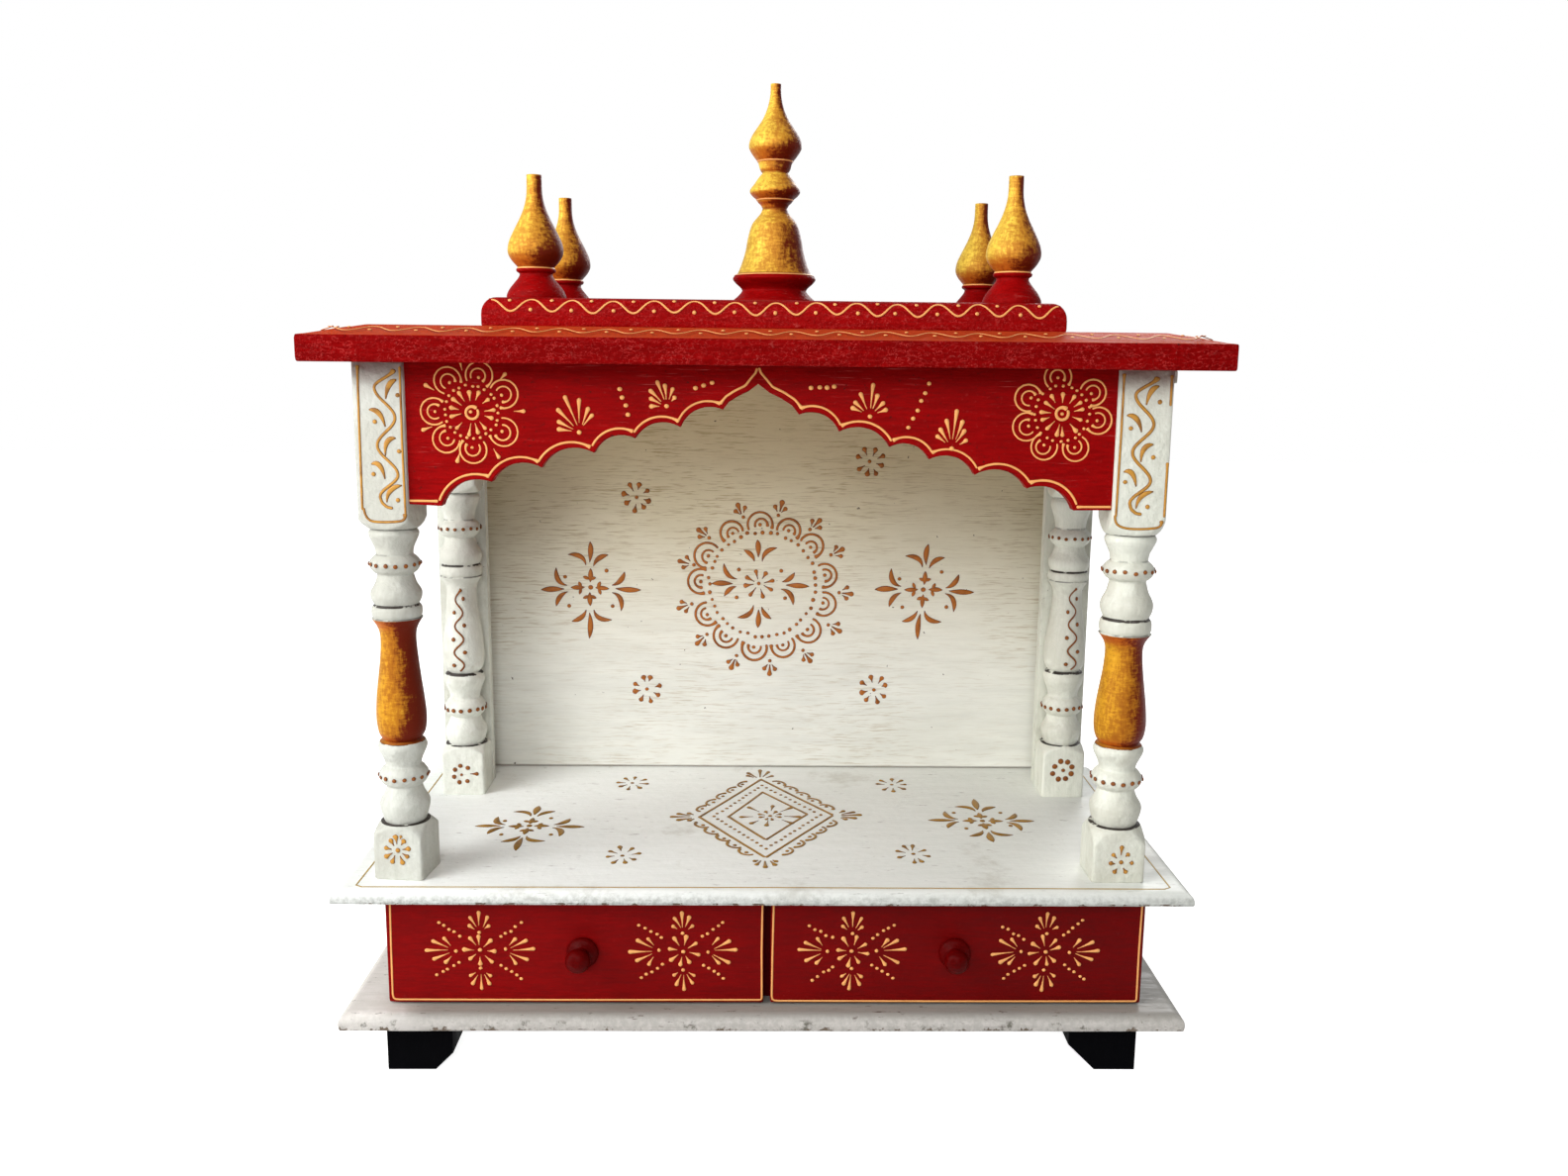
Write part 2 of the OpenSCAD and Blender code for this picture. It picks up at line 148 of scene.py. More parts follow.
def sizes():
    """The scene's sizes."""
    return bpy.context.scene.temple_sizes


# ---------------------------------------------------------------- node trees


class Graph:
    """Short way to write a node tree: add() makes a node and fills or links its inputs."""

    def __init__(self, tree):
        self.tree = tree
        tree.nodes.clear()

    def fill(self, socket, value):
        """Links an output into a socket, or sets a plain value on it."""
        if isinstance(value, bpy.types.NodeSocket):
            self.tree.links.new(value, socket)
        else:
            socket.default_value = value

    def add(self, kind, inputs=None, **settings):
        node = self.tree.nodes.new(kind)
        for key, value in settings.items():
            setattr(node, key, value)
        for key, value in (inputs or {}).items():
            self.fill(node.inputs[key], value)
        return node

    def maths(self, operation, *values):
        return self.add("ShaderNodeMath", dict(enumerate(values)), operation=operation).outputs[0]

    def times(self, first, second):
        return self.maths("MULTIPLY", first, second)

    def plus(self, first, second):
        return self.maths("ADD", first, second)

    def minus(self, first, second):
        return self.maths("SUBTRACT", first, second)

    def mix(self, factor, first, second, blend="MIX"):
        node = self.add("ShaderNodeMix", data_type="RGBA", blend_type=blend)
        for socket, value in zip((0, 6, 7), (factor, first, second)):
            self.fill(node.inputs[socket], value)
        return node.outputs[2]

    def over(self, mask, share, base, paint):
        """A paint over the base, as strong as the mask times its share."""
        return self.mix(self.times(mask, share), base, paint)

    def remap(self, value, low, high, to_low=0.0, to_high=1.0):
        return self.add("ShaderNodeMapRange", {"Value": value, "From Min": low, "From Max": high,
                                               "To Min": to_low, "To Max": to_high},
                        interpolation_type="SMOOTHSTEP").outputs[0]

    def noise(self, vector, scale, detail=4.0, rough=0.55):
        return self.add("ShaderNodeTexNoise", {"Vector": vector, "Scale": scale, "Detail": detail,
                                               "Roughness": rough}).outputs["Fac"]

    def where(self, scale=(1.0, 1.0, 1.0), turn=(0.0, 0.0, 0.0)):
        """Object coordinates, stretched along the grain and turned."""
        place = self.add("ShaderNodeTexCoord").outputs["Object"]
        return self.add("ShaderNodeMapping", {"Vector": place, "Scale": scale,
                                              "Rotation": turn}).outputs["Vector"]

    def axis(self, vector, axis):
        return self.add("ShaderNodeSeparateXYZ", {0: vector}).outputs[axis]

    def facing(self, axis):
        """How far the surface faces along an axis."""
        return self.axis(self.add("ShaderNodeNewGeometry").outputs["Normal"], axis)

    def attribute(self, name):
        return self.add("ShaderNodeAttribute", attribute_name=name).outputs["Fac"]

    def group(self, name, **inputs):
        return self.add("ShaderNodeGroup", inputs, node_tree=bpy.data.node_groups[name])

    def bump(self, height, strength, distance, before=None):
        """A Bump node on a height, after another one if given."""
        inputs = {"Height": height, "Strength": strength, "Distance": distance}
        if before is not None:
            inputs["Normal"] = before
        return self.add("ShaderNodeBump", inputs).outputs["Normal"]

    def close(self, base, rough, normal, **plain):
        """Principled shader and output at the end of a material."""
        shader = self.add("ShaderNodeBsdfPrincipled",
                          {"Base Color": base, "Roughness": rough, "Normal": normal})
        for key, value in plain.items():
            shader.inputs[key.replace("_", " ")].default_value = value
        self.add("ShaderNodeOutputMaterial", {"Surface": shader.outputs[0]})


def rgba(value, *strengths):
    """A colour as four values: all channels times one strength, or each times its own."""
    strengths = strengths * 3 if len(strengths) == 1 else strengths or (1.0,) * 3
    return (*[min(1.0, channel * share) for channel, share in zip(value, strengths)], 1.0)


def new_group(name, inputs, outputs):
    """An empty shader node group with float or vector inputs and float outputs."""
    tree = bpy.data.node_groups.new(name, "ShaderNodeTree")
    for label, default in inputs.items():
        kind = "NodeSocketVector" if default is None else "NodeSocketFloat"
        socket = tree.interface.new_socket(name=label, in_out="INPUT", socket_type=kind)
        if default is not None:
            socket.default_value = default
    for label in outputs:
        tree.interface.new_socket(name=label, in_out="OUTPUT", socket_type="NodeSocketFloat")
    graph = Graph(tree)
    return graph, graph.add("NodeGroupInput").outputs, graph.add("NodeGroupOutput").inputs


def make_brush_group():
    """Brush streaks: two stretched noises, the fine one riding on the broad one."""
    graph, given, made = new_group(
        "brush_streaks", {"Vector": None, "Fine": 420.0, "Broad": 90.0}, ["Streak", "Broad"]
    )
    fine = graph.noise(given["Vector"], given["Fine"], 6.0, 0.65)
    broad = graph.noise(given["Vector"], given["Broad"], 4.0, 0.5)
    graph.fill(made["Streak"], graph.plus(graph.times(fine, 0.6), graph.times(broad, 0.4)))
    graph.fill(made["Broad"], broad)


def make_wear_group():
    """Edge wear: the piece's own worn value plus a blotchy noise, cut off sharply."""
    graph, given, made = new_group(
        "edge_wear", {"Vector": None, "Worn": 0.0, "Spread": 0.5, "Scale": 260.0}, ["Bare"]
    )
    blotch = graph.noise(given["Vector"], given["Scale"], 5.0, 0.7)
    total = graph.plus(blotch, graph.times(given["Worn"], given["Spread"]))
    graph.fill(made["Bare"], graph.remap(total, 0.74, 0.8))


def make_stain_group():
    """Stains: large soft patches of noise, broken up by a smaller one."""
    graph, given, made = new_group(
        "stains", {"Vector": None, "Scale": 14.0, "Cover": 0.5}, ["Stain"]
    )
    patch = graph.noise(given["Vector"], given["Scale"], 3.0, 0.5)
    broken = graph.noise(given["Vector"], 120.0, 4.0, 0.6)
    both = graph.plus(graph.times(patch, 0.75), graph.times(broken, 0.25))
    edge = graph.minus(0.85, graph.times(given["Cover"], 0.5))
    graph.fill(made["Stain"], graph.remap(both, graph.minus(edge, 0.12), edge))


def new_material(name):
    """The empty node tree of a new material."""
    material = bpy.data.materials.new(name)
    material.use_nodes = True
    return Graph(material.node_tree)


GRAINS = {"x": (0.12, 1.0, 1.0), "y": (1.0, 0.12, 1.0), "z": (1.0, 1.0, 0.12)}
# Colours that lie on the paints or show through them, in linear values
STAIN, EDGE_DIRT, EDGE_SCRATCH = (0.45, 0.43, 0.36, 1), (0.1, 0.095, 0.07, 1), (0.09, 0.06, 0.05, 1)
BARE_EDGE, THIN_PAINT = (0.14, 0.105, 0.075, 1), (0.6, 0.59, 0.5, 1)
SPECK, FLOOR_JOINT = (0.1, 0.07, 0.05, 1), (0.12, 0.09, 0.06, 1)
# The reds for the top, the glints and the brush lines are painted sheen and glints; the worn red is
# wear
RED_BRUSH_GLINT, RED_TOP_SHEEN, RED_PAINTED_GLINT, RED_WORN = ((0.5, 0.09, 0.08, 1), (0.64, 0.075, 0.016, 1),
                                             (0.6, 0.06, 0.055, 1), (0.07, 0.006, 0.005, 1))
GOLD_UNDER_SHADE, GOLD_FAR_SHADE, GOLD_GROOVE = ((0.5, 0.085, 0.008, 1), (0.13, 0.011, 0.002, 1),
                                     (0.2, 0.03, 0.004, 1))


def mix_white(name, tone, grain, streaks, grime, lumps, edge_tone=1.0, shades=(1.0, 1.0),
              ends=(-0.26, 0.26), chipped=0.15, soil=0.0):
    """Brushed white paint: streaks along the grain, faint stains, dark chips and grooves.
    lumps is how thick the paint lies, edge_tone how grey a board's moulded edge is, partly worn
    paint and partly painted shade under its lit top, shades how bright its left and right ends
    are painted, a painted light and shade, at the two places along x. chipped is how far the
    bare wood shows at its arrises, soil how much dirt lies on its edge."""
    graph = new_material(name)
    where = graph.where()
    brush = graph.group("brush_streaks", Vector=graph.where(GRAINS[grain]), Fine=520.0,
                        Broad=110.0)
    streak = graph.remap(brush.outputs["Streak"], 0.36, 0.62)
    base = graph.over(streak, streaks, rgba(tone), rgba(tone, 0.8, 0.81, 0.78))
    stain = graph.group("stains", Vector=where, Scale=11.0, Cover=grime)
    base = graph.over(stain.outputs["Stain"], 0.4, base, STAIN)
    # Painted light and shade along x: the paint is scaled brighter or darker from one end to the
    # other
    left, right = shades
    end_light_and_shade = graph.mix(graph.remap(graph.axis(where, "X"), *ends), (left, left, left, 1),
                      (right, right, right * 0.97, 1))
    base = graph.mix(1.0, base, end_light_and_shade, "MULTIPLY")
    if edge_tone < 1:
        # Painted shade on the upright moulded edge, which is greyer than the top; the specks are
        # worn paint
        side = graph.attribute("side")
        speck = graph.remap(graph.noise(where, 240.0, 5.0, 0.7), 0.35, 0.7, 0.5, 1.0)
        base = graph.over(side, speck, base, rgba(tone, edge_tone, edge_tone, edge_tone * 0.96))
        dirty = graph.remap(graph.noise(where, 55.0, 6.0, 0.75), 0.55, 0.66, 0.0, soil)
        base = graph.over(dirty, graph.remap(side, 0.55, 0.95), base, EDGE_DIRT)
        scratch_and_glint = graph.noise(graph.where((0.16, 0.6, 1)), 420.0, 3.0, 0.7)
        base = graph.mix(graph.remap(scratch_and_glint, 0.64, 0.72, 0.0, soil), base, EDGE_SCRATCH)
    bare = graph.group("edge_wear", Vector=where, Worn=graph.attribute("worn"), Spread=chipped,
                       Scale=420.0).outputs["Bare"]
    smudge = graph.remap(graph.noise(where, 90.0, 4.0, 0.6), 0.3, 0.56)
    dirt = graph.remap(graph.times(graph.attribute("groove"), smudge), 0.2, 0.5)
    base = graph.mix(dirt, base, rgba(paints().grime))
    base = graph.mix(bare, base, BARE_EDGE)
    normal = graph.bump(brush.outputs["Streak"], 0.35, 0.0006)
    normal = graph.bump(graph.noise(where, 130.0, 3.0), lumps, 0.0016, normal)
    normal = graph.bump(graph.minus(1.0, bare), 0.6, 0.0003, normal)
    graph.close(base, graph.remap(streak, 0, 1, 0.4, 0.55), normal, Specular_IOR_Level=0.3)


def mix_panel(name, tone, brown):
    """Thin white paint over sawn wood: fine broken grain lines, a few specks, and towards the
    roof a brown painted shade, where the grain lines show darker too."""
    graph = new_material(name)
    where = graph.where()
    sway = graph.add("ShaderNodeTexNoise", {"Vector": where, "Scale": 14.0, "Detail": 3.0})
    lift = graph.add("ShaderNodeVectorMath", {0: sway.outputs["Color"], 1: (0.0, 0.0, 0.006)},
                     operation="MULTIPLY")
    bent = graph.add("ShaderNodeVectorMath", {0: where, 1: lift.outputs[0]}, operation="ADD")
    grain = graph.add("ShaderNodeMapping", {"Vector": bent.outputs[0], "Scale": (0.06, 1.0, 1.0)})
    fine = graph.noise(grain.outputs[0], 900.0, 3.0, 0.6)
    broad = graph.noise(graph.where((0.14, 1, 1)), 120.0, 5.0, 0.65)
    height = graph.axis(where, "Z")
    # Painted shade under the roof: brown from 0.2 m up, strongest on the front face, where the
    # grain lines also darken
    roof_shade = graph.times(graph.remap(height, 0.2, 0.5),
                        graph.remap(graph.facing("Y"), 0.2, 0.8, 1.0, 0.25))
    patch = graph.remap(graph.noise(where, 9.0, 3.0), 0.36, 0.64, 0.25, 1.0)
    vein = graph.times(graph.remap(fine, 0.5, 0.7), patch)
    cloud = graph.remap(graph.noise(graph.where((0.6, 1, 1)), 9.0, 5.0, 0.6), 0.45, 0.75)
    base = graph.mix(graph.remap(broad, 0.36, 0.7, 0.0, 0.5), rgba(tone), rgba(tone, 0.84))
    base = graph.over(cloud, 0.3, base, THIN_PAINT)
    base = graph.over(roof_shade, 0.72, base, rgba(brown, 1.8, 2.0, 1.75))
    base = graph.over(vein, graph.plus(0.42, graph.times(roof_shade, 0.4)), base, rgba(brown))
    base = graph.mix(graph.remap(graph.noise(where, 210.0, 2.0), 0.75, 0.79), base, SPECK)
    base = graph.mix(graph.remap(height, 0.1466, 0.1485, 0.75, 0.0), base, FLOOR_JOINT)
    normal = graph.bump(fine, 0.25, 0.0005)
    normal = graph.bump(graph.noise(where, 100.0, 3.0), 0.12, 0.0014, normal)
    graph.close(base, graph.remap(broad, 0.3, 0.7, 0.45, 0.6), normal, Specular_IOR_Level=0.2)


def mix_red(name, tone, grain, pebble, gloss, shine=0.03, ridges=0.5, fade=1.0, scratch_and_glint=0.0,
            glints=0.0, top=0.0):
    """Thick glossy red paint: brush ridges along the grain and, where asked, a pebbled skin
    whose crowns get a paler red, a painted highlight. It darkens by fade towards the right end, a
    painted shade. scratch is how strongly pale brush lines show, painted as glints, glints how
    strongly the paint's wrinkles show as painted glints, and top how much more orange the paint
    is where it faces up, a painted sheen."""
    graph = new_material(name)
    where = graph.where()
    brush = graph.group("brush_streaks", Vector=graph.where(GRAINS[grain]), Fine=600.0,
                        Broad=150.0)
    streak = graph.remap(brush.outputs["Streak"], 0.38, 0.62)
    base = graph.mix(streak, rgba(tone, 0.8), rgba(tone, 1.12))
    cloud = graph.remap(graph.noise(where, 16.0, 3.0), 0.35, 0.65)
    base = graph.over(cloud, 0.3, base, rgba(tone, 0.7))
    # Painted shade: the paint darkens towards the right end by fade
    base = graph.mix(graph.remap(graph.axis(where, "X"), -0.26, 0.24), base,
                     graph.mix(1.0, base, (fade, fade, fade, 1), "MULTIPLY"))
    # Painted glints: fine pale lines along the brush strokes, where the ridges would catch light
    lines = graph.remap(graph.noise(graph.where((0.035, 1, 1)), 900.0, 3.0, 0.7), 0.6, 0.72)
    lines = graph.times(lines, graph.remap(graph.noise(where, 22.0, 2.0), 0.42, 0.62))
    base = graph.over(lines, scratch_and_glint, base, RED_BRUSH_GLINT)
    skin_noise = graph.noise(where, 300.0, 4.0, 0.6)
    # Painted highlight: the pebbled skin's crowns get a paler red
    base = graph.over(graph.remap(skin_noise, 0.6, 0.74), min(1.0, pebble * 0.55), base,
                      rgba((tone[0],) * 3, 1.7, 0.28, 0.25))
    # Painted sheen: more orange where the surface faces up
    base = graph.over(graph.remap(graph.facing("Z"), 0.7, 0.96), top, base, RED_TOP_SHEEN)
    # Painted glints on the paint's wrinkles
    wrinkle = graph.noise(graph.where((0.5, 1, 1), (0, 0.35, 0)), 330.0, 3.0, 0.6)
    ridge = graph.remap(graph.maths("ABSOLUTE", graph.minus(wrinkle, 0.5)), 0.02, 0.0)
    ridge = graph.times(ridge, graph.remap(graph.noise(where, 60.0, 3.0), 0.35, 0.6, 0.35, 1.0))
    base = graph.over(ridge, glints, base, RED_PAINTED_GLINT)
    wear = graph.group("edge_wear", Vector=where, Worn=graph.attribute("worn"), Spread=0.22,
                       Scale=320.0)
    base = graph.mix(wear.outputs["Bare"], base, RED_WORN)
    normal = graph.bump(brush.outputs["Streak"], ridges, 0.0007)
    normal = graph.bump(skin_noise, pebble, 0.0013, normal)
    graph.close(base, graph.remap(streak, 0, 1, gloss, gloss + 0.14), normal,
                Specular_IOR_Level=shine)


def mix_gold(name, tone, deep):
    """Brushed gold paint: fine hatched strokes round the turning, with painted light and shade:
    yellow where it faces left and up, a deeper amber in front, dark red-brown painted shade where
    it faces right and orange-red painted shade underneath."""
    graph = new_material(name)
    first = graph.noise(graph.where((0.3, 0.3, 1.0), (0.0, 0.45, 0.0)), 620.0, 4.0, 0.7)
    second = graph.noise(graph.where((0.9, 0.9, 0.25), (0.3, -0.5, 0.0)), 560.0, 4.0, 0.7)
    hatch = graph.plus(graph.times(first, 0.5), graph.times(second, 0.5))
    patch = graph.noise(graph.where(), 55.0, 3.0)
    hatch = graph.plus(hatch, graph.times(graph.minus(patch, 0.5), 0.35))
    # Painted light and shade by the normal: away grows where the surface faces right or down
    away = graph.minus(graph.facing("X"), graph.times(graph.facing("Z"), 0.6))
    away = graph.plus(away, graph.times(graph.minus(0.5, hatch), 2.3))
    base = graph.mix(graph.remap(away, -1.0, 0.0), rgba(tone), deep)
    base = graph.mix(graph.remap(hatch, 0.42, 0.6, 0.45, 0.0), base, rgba(deep, 0.5, 0.3, 0.5))
    base = graph.mix(graph.remap(hatch, 0.6, 0.74, 0.0, 0.5), base, rgba(tone, 1.25, 1.5, 2.2))
    # Painted shade underneath
    base = graph.mix(graph.remap(graph.facing("Z"), -0.15, -0.75, 0.0, 0.75), base, GOLD_UNDER_SHADE)
    # Painted shade on the right side
    base = graph.mix(graph.remap(away, -0.05, 0.6), base, GOLD_FAR_SHADE)
    base = graph.over(graph.attribute("groove"), 0.8, base, GOLD_GROOVE)
    graph.close(base, graph.remap(hatch, 0.35, 0.65, 0.5, 0.36), graph.bump(hatch, 0.6, 0.0009),
                Metallic=0.12, Specular_IOR_Level=0.08)


def mix_cone(name, tone, edge, dark=0.3, rim=0.08):
    """Cone paint: each stroke is dark where it meets the board, over rim of its height, partly a
    darker paint edge and partly painted shade, and bright on its top, a painted highlight. dark is
    how strongly thin patches show."""
    graph = new_material(name)
    where = graph.where()
    uneven = graph.minus(graph.noise(where, 300.0, 3.0), 0.5)
    ragged = graph.plus(graph.attribute("rise"), graph.times(uneven, 0.45))
    # Painted shade at each stroke's foot and a painted highlight on its top
    lit_crown = graph.remap(ragged, rim, rim + 0.42)
    base = graph.mix(lit_crown, edge, rgba(tone))
    base = graph.mix(graph.remap(ragged, 0.85, 1.15), base, rgba(tone, 1.25))
    base = graph.mix(graph.remap(graph.noise(where, 70.0, 3.0), 0.45, 0.68, 0.0, dark), base, edge)
    normal = graph.bump(graph.noise(where, 500.0, 3.0), 0.3, 0.0004)
    graph.close(base, graph.remap(lit_crown, 0, 1, 0.5, 0.36), normal, Specular_IOR_Level=0.25)


def mix_black():
    """Black paint with a faint satin brush."""
    graph = new_material("foot_black")
    brush = graph.group("brush_streaks", Vector=graph.where(GRAINS["z"]), Fine=400.0, Broad=80.0)
    streak, tone = brush.outputs["Streak"], paints().black
    base = graph.mix(streak, rgba(tone, 0.8), rgba(tone, 1.6))
    graph.close(base, graph.remap(brush.outputs["Broad"], 0.3, 0.7, 0.4, 0.6),
                graph.bump(streak, 0.4, 0.0008), Specular_IOR_Level=0.006)


def mix_bare_wood():
    """Sawn pale wood: rings drawn out along the grain, with fine pores."""
    graph = new_material("tray_wood")
    rings = graph.add("ShaderNodeTexWave", {"Vector": graph.where((6.0, 0.5, 6.0)), "Scale": 9.0,
                                            "Distortion": 9.0, "Detail": 3.0,
                                            "Detail Scale": 1.4}).outputs["Fac"]
    pores = graph.remap(graph.noise(graph.where((1, 0.05, 1)), 900.0, 3.0), 0.3, 0.6)
    tone = paints().bare
    base = graph.mix(rings, rgba(tone, 0.78), rgba(tone, 1.1))
    base = graph.over(graph.minus(1.0, pores), 0.35, base, rgba(tone, 0.45))
    graph.close(base, graph.remap(rings, 0, 1, 0.7, 0.58), graph.bump(pores, 0.3, 0.0004))


# ---------------------------------------------------------------- meshes


# How far boards and turnings sway from their true shape, in millimetres
WOBBLE = 0.12


def skin(loops):
    """Faces of a closed skin over a stack of closed loops, counter-clockwise about the
    direction of the stack: quads from loop to loop and one flat face over each end."""
    rows, count = loops.shape[:2]
    ring = np.arange(rows * count).reshape(rows, count)
    low, high = ring[:-1], ring[1:]
    quads = np.stack([low, np.roll(low, -1, 1), np.roll(high, -1, 1), high], -1)
    return quads.reshape(-1, 4), [ring[0][::-1], ring[-1]]


def unit(vectors):
    """Each row of an array divided by its length."""
    return vectors / np.linalg.norm(vectors, axis=1)[:, None]


def add_object(name, data):
    """A new object in the scene."""
    made = bpy.data.objects.new(name, data)
    bpy.context.scene.collection.objects.link(made)
    return made


def make_piece(name, points, quads, caps, body, slot, materials, smooth=None, face_paint=None,
               hides=(), **values):
    """One mesh object from points in millimetres, quads and end caps. values are named
    numbers on the points, which the materials read."""
    mesh = bpy.data.meshes.new(name)
    mesh.from_pydata((points * MM).tolist(), [], quads.tolist() + [cap.tolist() for cap in caps])
    flags = np.ones(len(mesh.polygons), bool)
    if smooth is not None:
        flags[: len(quads)] = smooth
    flags[len(quads):] = len(caps) > 2
    mesh.polygons.foreach_set("use_smooth", flags)
    for material in materials:
        mesh.materials.append(bpy.data.materials[material])
    if face_paint is not None:
        index = np.zeros(len(mesh.polygons), int)
        index[: len(quads)] = face_paint
        index[len(quads):] = face_paint[[0, -1]]
        mesh.polygons.foreach_set("material_index", index)
    for key, value in values.items():
        mesh.attributes.new(key, "FLOAT", "POINT").data.foreach_set(
            "value", np.asarray(value, np.float32).ravel()
        )
    mesh.update()
    piece = add_object(name, mesh)
    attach(piece, body)
    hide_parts(*hides)


def make_skin(name, loops, *rest, **values):
    """One mesh object from a stack of loops."""
    make_piece(name, loops.reshape(-1, 3), *skin(loops), *rest, **values)


def smooth_curve(points, steps=5):
    """Catmull-Rom curve through the points: between two of them the cubic whose slope at
    each is half the step from the point before to the point after."""
    p = np.asarray(points, float)
    q = np.concatenate([p[:1], p, p[-1:]])
    a, b, c, d = q[:-3], q[1:-2], q[2:-1], q[3:]
    t = (np.arange(steps) / steps)[:, None, None]
    cubic = 0.5 * (2 * b + (c - a) * t + (2 * a - 5 * b + 4 * c - d) * t**2
                   + (3 * b - a - 3 * c + d) * t**3)
    return np.concatenate([cubic.transpose(1, 0, 2).reshape(-1, p.shape[1]), p[-1:]])


def rounded_rectangle(x0, x1, y0, y1, corner, along, across):
    """Points round a rectangle, counter-clockwise from its front left corner: a quarter
    circle at each corner and evenly spaced points between."""
    turn = np.radians(np.linspace(0, 90, 4))
    quarter = np.stack([np.cos(turn), np.sin(turn)], -1) * corner
    spins = [((-1, 0), (0, -1)), ((0, -1), (1, 0)), ((1, 0), (0, 1)), ((0, 1), (-1, 0))]
    centres = [(x0 + corner, y0 + corner), (x1 - corner, y0 + corner),
               (x1 - corner, y1 - corner), (x0 + corner, y1 - corner)]
    arcs = [quarter @ np.array(spin, float) + centre for spin, centre in zip(spins, centres)]
    points = []
    for here, there, count in zip(arcs, arcs[1:] + arcs[:1], (along, across, along, across)):
        t = np.linspace(0, 1, count + 2)[1:-1, None]
        points += [here, here[-1] * (1 - t) + there[0] * t]
    return np.concatenate(points)


def chips(length_at, total, rng, spacing, depth):
    """Dents along an edge: each is a small hill of random depth and width at a random
    place, and their highest value counts."""
    count = max(1, int(total / spacing))
    centre = rng.uniform(0, total, count)
    width = rng.uniform(1.2, 5.0, count)
    deep = depth * rng.uniform(0.15, 1.0, count) ** 2
    gap = np.abs(length_at[:, None] - centre)
    gap = np.minimum(gap, total - gap)
    return (deep * np.clip(1 - gap / width, 0, 1) ** 0.7).max(1)


def cap_rows(section, width, depth, back):
    """The section with more rows on both faces, each further in by an equal step until
    almost nothing is left in the middle."""
    deepest = min((width - 4) / 2, (depth - 4) / (1 + back))
    (low, first, _), (high, last, _) = section[0], section[-1]
    count = max(1, int((deepest - last) / 14))
    under = [(low, inset, 0.0) for inset in np.linspace(deepest, first, count + 1)[:-1]]
    over = [(high, inset, 0.0) for inset in np.linspace(last, deepest, count + 1)[1:]]
    return under + list(section) + over


def carve_board(name, box, section, body, slot, material, rng, hides, back=1.0, spacing=40.0,
                wobble=WOBBLE):
    """A board as a section carried round a rectangle. section lists height, inset from the
    edge and how much that row wears; back scales the inset along the rear edge. spacing is
    how far apart the dents are, wobble how far the edge sways in and out."""
    (x0, y0, z0), (x1, y1, _) = box
    middle, reach = (box[0] + box[1])[:2] / 2, (box[1] - box[0])[:2] / 2
    section = cap_rows(section, x1 - x0, y1 - y0, back)
    along, across = int((x1 - x0) / 3.5) + 2, int((y1 - y0) / 3.5) + 2
    outline = rounded_rectangle(x0, x1, y0, y1, 1.0, along, across)
    step = np.linalg.norm(np.roll(outline, -1, 0) - outline, axis=1)
    length_at = np.concatenate([[0], np.cumsum(step)[:-1]])
    total = step.sum()
    dent = chips(length_at, total, rng, spacing, sizes().chip_depth / MM)
    phase = length_at / total * 2 * np.pi
    sway = sum(np.sin(phase * k + rng.uniform(0, 6.3)) for k in (5, 11, 23, 41)) / 4
    loops, worn = [], []
    for height, inset, share in section:
        bite = inset + dent * share + wobble * share * (sway + 1) / 2
        loop = rounded_rectangle(x0 + inset, x1 - inset, y0 + inset, y1 - inset * back, 1.0,
                                 along, across)
        at_edge = np.abs(loop - middle) > reach - inset - 1.01
        loop = loop + np.clip(middle - loop, -1, 1) * at_edge * (bite - inset)[:, None]
        loops.append(np.column_stack([loop, np.full(len(loop), z0 + height)]))
        worn.append(share * (0.35 + dent / 0.8))
    loops = np.array(loops)
    side = np.clip((loops[-1, 0, 2] - loops[..., 2]) / 5, 0, 1)
    rows = np.array([row[2] > 0.3 for row in section])
    smooth = np.repeat(rows[:-1] & rows[1:], loops.shape[1])
    make_skin(name, loops, body, slot, [material], smooth=smooth, hides=hides,
              worn=np.array(worn), side=side)


def soft_section(height, soft):
    """Section of a plank: upright, with its two edges rubbed to a small quarter round."""
    turn = np.radians([0, 35, 65, 90])
    rise, inset = soft * (1 - np.cos(turn)), soft * (1 - np.sin(turn))
    low = [(r, i, 0.8) for r, i in zip(rise, inset)] + [(min(soft * 3, height / 2 - 0.1), 0, 0.0)]
    return low + [(height - r, i, s) for r, i, s in low[::-1]]


def plank(name, body, slot, material, rng, soft=None):
    """A plank in the place of its CAD node."""
    box = cad_box(name)
    soft = sizes().softness / MM if soft is None else soft
    carve_board("painted_" + name, box, soft_section(box[1][2] - box[0][2], soft), body, slot,
                material, rng, [name])


def cut_board(name, outline, start, end, slot, material, hides, soft=0.7, upright=False):
    """A board sawn to an outline in X and Z, counter-clockwise seen from the front, that
    runs from start to end along Y. An upright one has its outline in X and Y, seen from
    above, and runs along Z. Both faces meet the sawn edge in a small bevel."""
    ahead = unit(np.roll(outline, -1, 0) - outline)
    tangent = unit(ahead + np.roll(ahead, 1, 0))
    inward = np.stack([-tangent[:, 1], tangent[:, 0]], -1)
    loops = []
    for way, inset in ((end, soft), (end - soft * 0.3, soft * 0.3), (end - soft, 0.0),
                       (start + soft, 0.0), (start + soft * 0.3, soft * 0.3), (start, soft)):
        edge = outline + inward * inset
        way = np.full(len(edge), way)
        loops.append(np.column_stack([edge, way] if upright else [edge[:, 0], way, edge[:, 1]]))
    loops = np.array(loops[::-1] if upright else loops)
    smooth = np.repeat([True, True, False, True, True], loops.shape[1])
    worn = np.tile(np.array([0.5, 1, 0.6, 0.6, 1, 0.5])[:, None], (1, loops.shape[1]))
    make_skin(name, loops, "temple", slot, [material], smooth=smooth, hides=hides, worn=worn)


# The tier's quarter round edge: how far down and how far in it goes
TIER_EDGE = (11.5, 9.0)
